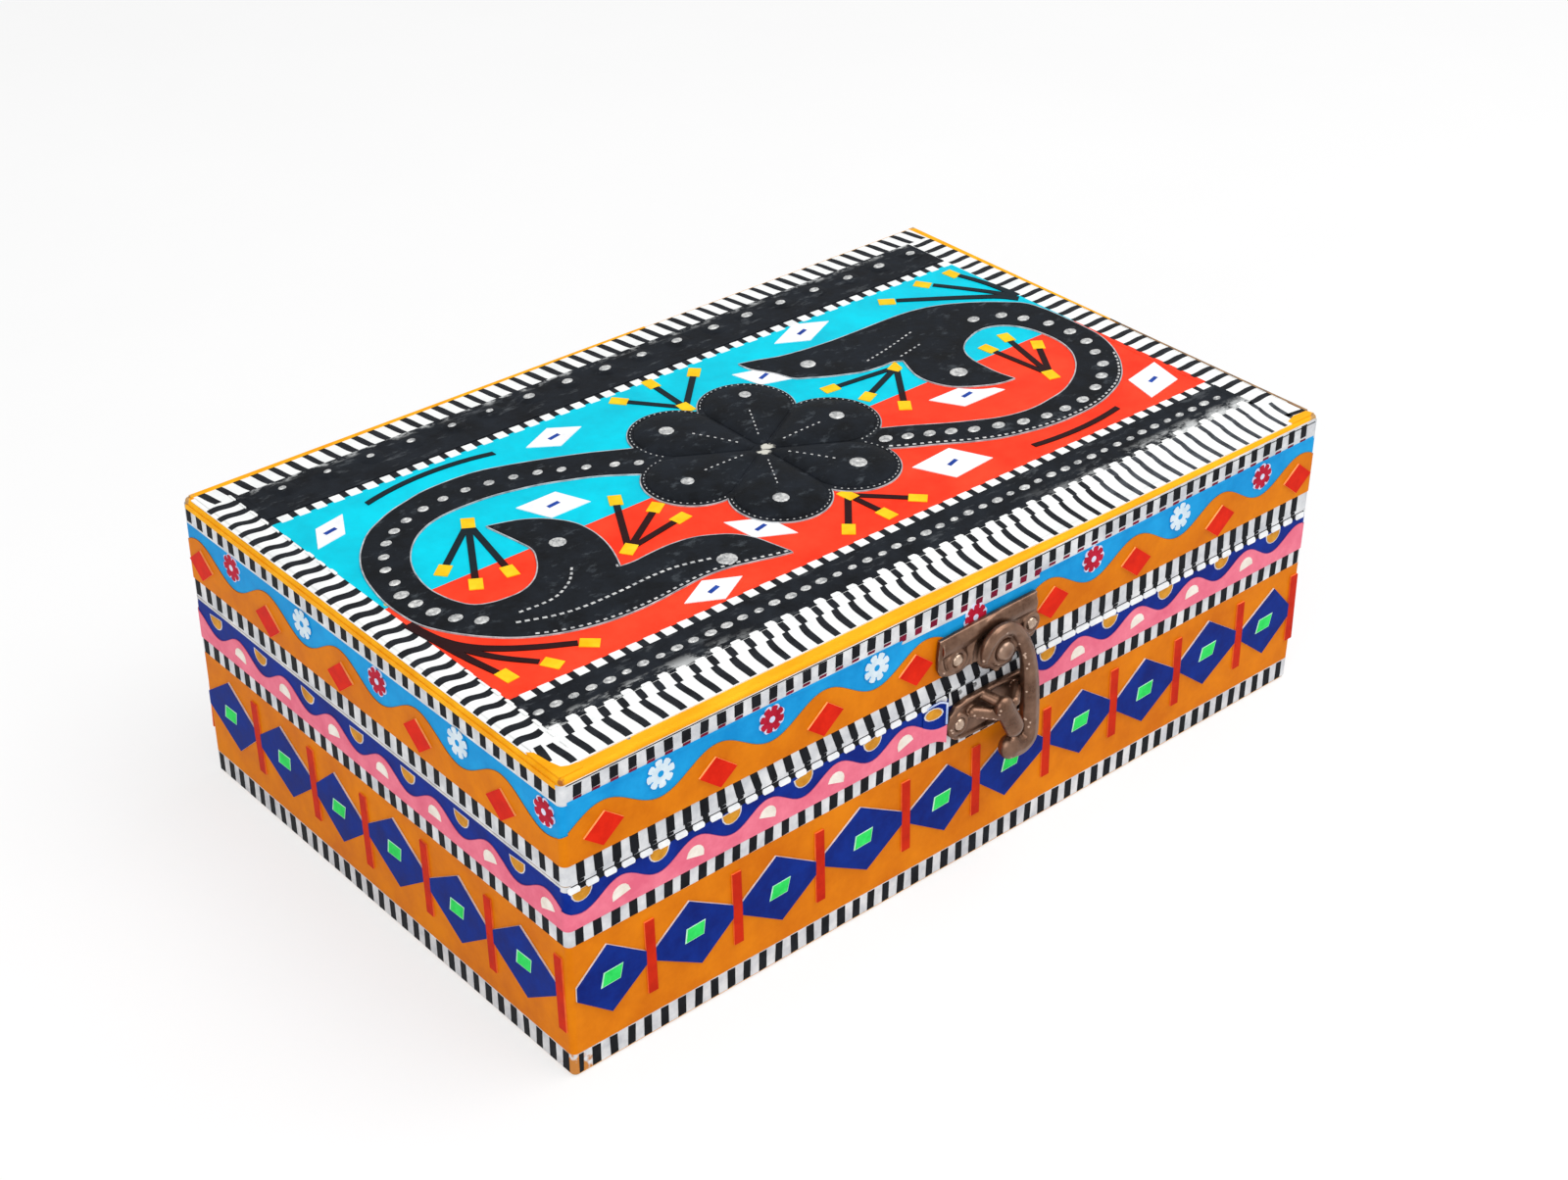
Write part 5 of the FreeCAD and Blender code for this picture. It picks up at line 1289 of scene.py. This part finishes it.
def rod(bm, line, off, deep, closed=False):
    """A round bar along a line of x, z and thickness, made deeper or flatter front to back."""
    curve = bpy.data.curves.new("rod", "CURVE")
    curve.dimensions = "3D"
    curve.bevel_depth = MM
    curve.bevel_resolution = 3
    curve.resolution_u = 8
    curve.use_fill_caps = True
    spline = curve.splines.new("NURBS")
    spline.points.add(len(line) - 1)
    for knot, (x, z, thick) in zip(spline.points, line):
        knot.co = (x * MM, 0, z * MM, 1)
        knot.radius = thick
    spline.use_cyclic_u = closed
    spline.order_u = 3
    spline.use_endpoint_u = not closed
    mesh = mesh_of(curve)
    place = Matrix.Translation((PIVOT + OUT * off) * MM)
    mesh.transform(place @ Matrix.Diagonal((1, deep, 1, 1)))
    bm.from_mesh(mesh)
    bpy.data.meshes.remove(mesh)


def ball(bm, x, z, off, wide, tall, deep):
    """A rounded swelling."""
    place = Matrix.Translation(on_latch(x, z, off))
    fit = place @ Matrix.Diagonal((wide * MM, deep * MM, tall * MM, 1))
    bmesh.ops.create_uvsphere(bm, u_segments=24, v_segments=14, radius=1, matrix=fit)


def plate(outline):
    """A flat plate cut to an outline, to be cast with what stands on it."""
    bm = bmesh.new()
    foot = [on_latch(x, z, PLATE_FOOT) for x, z in outline]
    lay(bm, [foot], OUT, PLATE_FACE - PLATE_FOOT)
    return bm


def collar(bm, x, z, off, middle, thick):
    """A raised ring."""
    turns = [math.pi * step / 6 for step in range(12)]
    line = [(x + middle * math.cos(turn), z + middle * math.sin(turn), thick) for turn in turns]
    rod(bm, line, off, 1.0, closed=True)


def cast(name, bm, body, node):
    """One casting: its swellings and ridges run together, with soft edges."""
    made = piece(name, bm, latch_bronze, body)
    fused = made.modifiers.new("fused", "REMESH")
    fused.mode = "VOXEL"
    fused.voxel_size = 0.22 * MM
    fused.use_smooth_shade = True
    soft = made.modifiers.new("soft", "SMOOTH")
    soft.factor = 0.5
    soft.iterations = 4
    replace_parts(made, node)


# The upper plate has a heavy top ridge, scrolled ridges round its nails and a
# domed seat for the hook, with two small beads under it.
upper = plate((
    (-18.4, 8.6), (-18.8, 4), (-18.7, 0.6), (-17.6, -1.4), (-15.4, -2.1), (-11, -2.0), (-8, -1.8),
    (-6, -2.1), (-4.4, -3.4), (-2.6, -5.2), (-0.6, -6.5), (1.6, -7.0), (3.8, -6.6), (5.8, -5),
    (7, -3.2), (8.6, -2.4), (11, -2.6), (12.6, -2.0), (13.2, -0.2), (13.2, 4), (13, 9.6), (0, 9.4),
    (-10, 9.0),
))
for off, deep, line in (
    (1.5, 0.55, ((-18, 6.0, 2.3), (-8, 6.5, 2.4), (2, 6.9, 2.4), (12.3, 7.0, 2.4))),
    (1.7, 0.9, (
        (-18, 3.4, 0.5), (-17.7, -0.8, 0.7), (-12.6, -1.6, 0.8), (-9.2, -0.2, 0.9),
        (-8.8, 3.8, 0.5),
    )),
    (1.8, 1.0, (
        (-8.4, -1.4, 0.5), (-8.9, 3, 1.0), (-6.4, 7.2, 0.9), (-1.5, 8.8, 0.7), (3, 8.4, 0.4),
    )),
    (1.7, 0.9, ((12.7, 4, 0.5), (12.8, -1.4, 0.7), (9.6, -2.0, 0.7), (8.2, 0.4, 0.4))),
    (1.8, 1.0, ((5.4, 8.6, 0.3), (7.6, 5.6, 0.6), (11, 5.2, 0.6), (13, 6, 0.3))),
):
    rod(upper, line, off, deep)
collar(upper, *UPPER_NAILS[0], 1.9, 2.5, 0.8)
collar(upper, *UPPER_NAILS[1], 1.9, 2.3, 0.75)
ball(upper, 0, 0, 1.3, 6.4, 6.4, 1.1)
ball(upper, 0, -6.2, 1.9, 1.0, 0.9, 0.9)
ball(upper, 4.2, -5.3, 1.9, 1.0, 0.9, 0.9)
cast("latch_upper_casting", upper, "lid", "latch_upper_plate")

# The hook curls once round the rivet, swells on its way down and ends in a knob.
HOOK_LINE = (
    (-6.9, -0.6, 0.9), (-6.7, 1.8, 1.5), (-5.6, 4.4, 1.9), (-3.0, 6.1, 1.9), (0.2, 6.2, 1.8),
    (2.8, 4.9, 1.7), (4.6, 2.6, 1.8), (6.0, 0.0, 2.0), (7.3, -3.2, 2.2), (8.4, -7.5, 2.4),
    (9.0, -12.5, 2.7), (9.3, -17, 2.8), (9.6, -21, 2.8), (10.0, -25.2, 2.6), (9.7, -28.6, 2.8),
    (6.4, -30.0, 3.2), (3.4, -29.0, 3.3),
)
hook = bmesh.new()
rod(hook, HOOK_LINE, 4.6, 0.8)
ball(hook, 3.7, -29, 4.6, 3.3, 3.3, 2.5)
ball(hook, 0.2, 0, 3.5, 5.6, 5.4, 0.8)
collar(hook, 0, 0, 4.0, 3.7, 0.65)
cast("latch_hook_casting", hook, "hook", "latch_hook")

# The lower plate has a raised rim. Its keeper is a row of swellings run together:
# three short arms that rise off the plate and a thick tab that hangs down in front.
lower = plate((
    (-15, -17), (-14.3, -19.6), (-12.4, -21.5), (-9, -22.2), (0, -22.2), (9, -22.2),
    (12.4, -21.5), (14.3, -19.6), (15, -17), (14.3, -14.1), (12.4, -12), (9, -11.1), (0, -10.8),
    (-9, -11.1), (-12.4, -12), (-14.3, -14.1),
))
LOWER_RIM = (
    (-14.3, -17), (-12.9, -21.1), (-6, -21.5), (0, -21.6), (6, -21.5), (12.9, -21.1),
    (14.3, -17), (12.9, -12.4), (6, -11.7), (0, -11.5), (-6, -11.7), (-12.9, -12.4),
)
KEEPER = (
    ((-7.2, -15.4, 2.2), (-1.6, -16.8, 5.6), 1.6), ((-3.4, -12.5, 1.6), (-1.4, -13.6, 6.6), 1.5),
    ((7.6, -13.2, 2.0), (2.6, -14.6, 6.2), 1.3), ((-1.2, -14.4, 6.3), (2.4, -21.6, 6.7), 2.7),
)
rod(lower, [(x, z, 0.65) for x, z in LOWER_RIM], 1.7, 1.0, closed=True)
for nail in LOWER_NAILS:
    collar(lower, *nail, 1.9, 2.4, 0.75)
for start, stop, fat in KEEPER:
    for step in range(9):
        x, z, off = (one + (two - one) * step / 8 for one, two in zip(start, stop))
        ball(lower, x, z, off, fat, fat, min(fat, 1.9))
cast("latch_lower_casting", lower, "base", "latch_lower_plate")


# The rivet and nails. The hook turns on a domed bronze rivet, and each plate is
# held by two round-headed bronze nails driven into the wood.
NAIL_SIZE, RIVET_SIZE = (1.7, 1.6, 1.5), (2.7, 4.0, 2.2)
nail_bronze = finish(
    "nail_bronze", (140, 116, 100), (206, 182, 162), 3, (0.2, 0.34), 0.03, **CAST_METAL
)


def domed(name, node, heads, size, body, bronze):
    """Round heads that face the front, with their radius, their seat and how far they rise."""
    radius, seat, height = size
    shape = turned(name + "_shape", (
        (0.0, 0.0), (radius, 0.0), (radius, height * 0.28), (radius * 0.9, height * 0.6),
        (radius * 0.68, height * 0.86), (radius * 0.36, height * 0.98), (0.0, height),
    ), 24)
    face_front = Matrix.Rotation(math.radians(90), 4, "X")
    places = [Matrix.Translation(on_latch(x, z, seat)) @ face_front for x, z in heads]
    made = piece(name, scatter(shape, places), bronze, body, smooth=True)
    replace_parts(made, node)


for name, node, heads, size, body, bronze in (
    ("latch_upper_nail_heads", "latch_upper_nails", UPPER_NAILS, NAIL_SIZE, "lid", nail_bronze),
    ("latch_lower_nail_heads", "latch_lower_nails", LOWER_NAILS, NAIL_SIZE, "base", nail_bronze),
    ("latch_rivet_head", "latch_pivot_rivet", ((0, 0),), RIVET_SIZE, "lid", latch_bronze),
):
    domed(name, node, heads, size, body, bronze)


# The tape ends at the latch. Left of the lower plate the blue and pink tapes
# end, and their cut end has lifted a little off the wood. Between the plates a
# bit of zebra tape covers the join.
LIFT_FROM, LIFT_TO, LIFT_HIGH = -17.5, -10.7, 1.1


def lifted(x, z, extra=0.0):
    """A place on the lifted end of the tape."""
    part = (x - LIFT_FROM) / (LIFT_TO - LIFT_FROM)
    return Vector((x, -75.52 - LIFT_HIGH * part * part - extra, z)) * MM


def lifted_strip(low, high, start, extra, thick):
    """A strip of the lifted tape end between two lines of spot and height."""
    bm = bmesh.new()
    places = [start + (LIFT_TO - start) * step / 8 for step in range(9)]
    for near, far in zip(places, places[1:]):
        bm.faces.new([bm.verts.new(point) for point in (
            lifted(near, at(low, near), extra), lifted(far, at(low, far), extra),
            lifted(far, at(high, far), extra), lifted(near, at(high, near), extra),
        )])
    bmesh.ops.remove_doubles(bm, verts=bm.verts, dist=1e-6)
    bmesh.ops.recalc_face_normals(bm, faces=bm.faces)
    bmesh.ops.solidify(bm, geom=bm.faces[:], thickness=thick * MM)
    return bm


NAVY_HEAD = ((-17.5, 51.0), (-12.6, 51.9), (LIFT_TO, 51.0))
NAVY_RIM = [(spot, head - 0.5) for spot, head in NAVY_HEAD]
PINK_FOOT = ((-17.5, 40.9), (-13, 40.6), (LIFT_TO, 39.6))
pale_blue = finish("pale_blue", (150, 176, 224), (206, 216, 240), 3, (0.34, 0.5), 0.02)
lifted_wave = [(x, wave_height(BASE_WAVE, LAST_RUN + 120 + x)) for x in range(-18, -9)]
navy_end = lifted_strip(lifted_wave, NAVY_HEAD, LIFT_FROM, 0.0, 0.12)
piece("base_lifted_navy_end", navy_end, navy_film, "base")
pink_end = lifted_strip(PINK_FOOT, lifted_wave, LIFT_FROM, 0.0, 0.12)
piece("base_lifted_pink_end", pink_end, pink_film, "base")
top_edge = lifted_strip(NAVY_RIM, NAVY_HEAD, -16.5, 0.14, 0.04)
piece("base_lifted_top_edge", top_edge, pale_blue, "base")
end_edge = lifted_strip(45.0, NAVY_RIM, LIFT_TO - 0.5, 0.14, 0.04)
piece("base_lifted_end_edge", end_edge, pale_blue, "base")
moon = [
    lifted(-14.6 + 2.3 * math.cos(turn), 48.9 + 1.45 * math.sin(turn) - 0.1 * math.cos(turn), 0.15)
    for turn in (math.pi * step / 6 for step in range(12))
]
film("base_lifted_moon", [moon], OUT, 0.08, ochre_film, "base")
film("base_lifted_moon_edge", [grown(moon, 1.2)], OUT, 0.03, cut_edge, "base")

JOIN_FOOT, JOIN_HEAD = 48.6, 52.45
JOIN_CORNERS = ((-0.7, JOIN_FOOT), (1.7, JOIN_FOOT), (0.7, JOIN_HEAD), (-1.6, JOIN_HEAD))
join_tape = strip("front", JOIN_FOOT, JOIN_HEAD, (110.6, 135), 0.5)
film("base_join_tape", [join_tape], OUT, 0.08, tape_white, "base")
join_bars = [
    [on_side("front", spot + across, height, 0.58) for across, height in JOIN_CORNERS]
    for spot in (112.6, 117.4, 122.2, 127.0, 131.8)
]
film("base_join_tape_bars", join_bars, OUT, BAR_THICK, tape_black, "base")


# The hinges. Two small pressed bronze butt hinges at the back, each two leaves
# on a wire pin, nailed to the base and to the lid.
LEAVES = (
    "left_hinge_base_leaf", "right_hinge_base_leaf", "left_hinge_lid_leaf", "right_hinge_lid_leaf",
)
hinge_bronze = finish(
    "hinge_bronze", (84, 64, 48), (132, 104, 82), 4, (0.36, 0.52), 0.05, metal=0.85
)
dress(hinge_bronze, *LEAVES)
dress(hinge_bronze, "left_hinge_pin", "right_hinge_pin", "hinge_base_nails", "hinge_lid_nails")
for leaf in LEAVES:
    soften_node(leaf, 0.12, 30)


# The studio: a pale floor that keeps the shadow, a white surround, one large
# soft light overhead and to the front right, and a weaker one from the left.
WHITE = (1, 1, 1, 1)
FLOOR_GLOW = 0.68
FILL_LIGHT = 0.45
scene = bpy.context.scene


def seen_straight(tree):
    """Whether a ray comes from the camera, straight or by way of a shine or a clear thing."""
    rays = add_node(tree, "LightPath")
    seen = rays.outputs["Is Camera Ray"]
    for kind in ("Is Glossy Ray", "Is Transmission Ray"):
        seen = add_node(tree, "Math", {0: seen, 1: rays.outputs[kind]}, "MAXIMUM").outputs["Value"]
    return seen


floor_shape = bmesh.new()
bmesh.ops.create_grid(floor_shape, x_segments=1, y_segments=1, size=6)
bmesh.ops.translate(floor_shape, verts=floor_shape.verts, vec=(0, 0, -0.0003))
floor = bpy.data.objects.new("floor", kept_mesh("floor", floor_shape))
scene.collection.objects.link(floor)
floor_paper = finish("floor_paper", (244, 244, 244), (250, 250, 250), 300, (0.85, 0.95), 0.02)
tree = floor_paper.node_tree
glow = add_node(tree, "Math", {0: seen_straight(tree), 1: FLOOR_GLOW}, "MULTIPLY")
both = add_node(tree, "MixShader", {
    "Fac": glow.outputs["Value"], 1: tree.nodes["Principled BSDF"].outputs["BSDF"],
    2: add_node(tree, "Emission").outputs["Emission"],
})
feed(tree, tree.nodes["Material Output"], {"Surface": both.outputs["Shader"]})
floor.data.materials.append(floor_paper)

world = bpy.data.worlds.new("surround")
scene.world = world
world.use_nodes = True
tree = world.node_tree
shown = tree.nodes["Background"]
feed(tree, shown, {"Color": WHITE, "Strength": 1.0})
fill = add_node(tree, "Background", {"Color": WHITE, "Strength": FILL_LIGHT})
either = add_node(tree, "MixShader", {
    "Fac": seen_straight(tree), 1: fill.outputs["Background"], 2: shown.outputs["Background"],
})
feed(tree, tree.nodes["World Output"], {"Surface": either.outputs["Shader"]})

def softbox(name, size, place, power):
    """A square soft light that faces the box."""
    lamp = bpy.data.lights.new(name, "AREA")
    lamp.size = size
    lamp.energy = power
    light = bpy.data.objects.new(name, lamp)
    scene.collection.objects.link(light)
    light.location = place
    aim = Vector((0, 0, 0.05)) - Vector(place)
    light.rotation_euler = aim.to_track_quat("-Z", "Y").to_euler()


softbox("key_light", 1.2, (0.35, -0.45, 1.25), 15)
softbox("side_light", 0.9, (-1.1, -0.5, 0.6), 5.4)

lens = bpy.data.cameras.new("camera")
lens.sensor_width = 36
lens.lens = 59.103
camera = bpy.data.objects.new("camera", lens)
scene.collection.objects.link(camera)
camera.location = (-0.36177, -0.41961, 0.39184)
camera.rotation_euler = [math.radians(turn) for turn in (57.6152, -0.3174, -41.0054)]
scene.camera = camera
scene.view_settings.view_transform = "Standard"
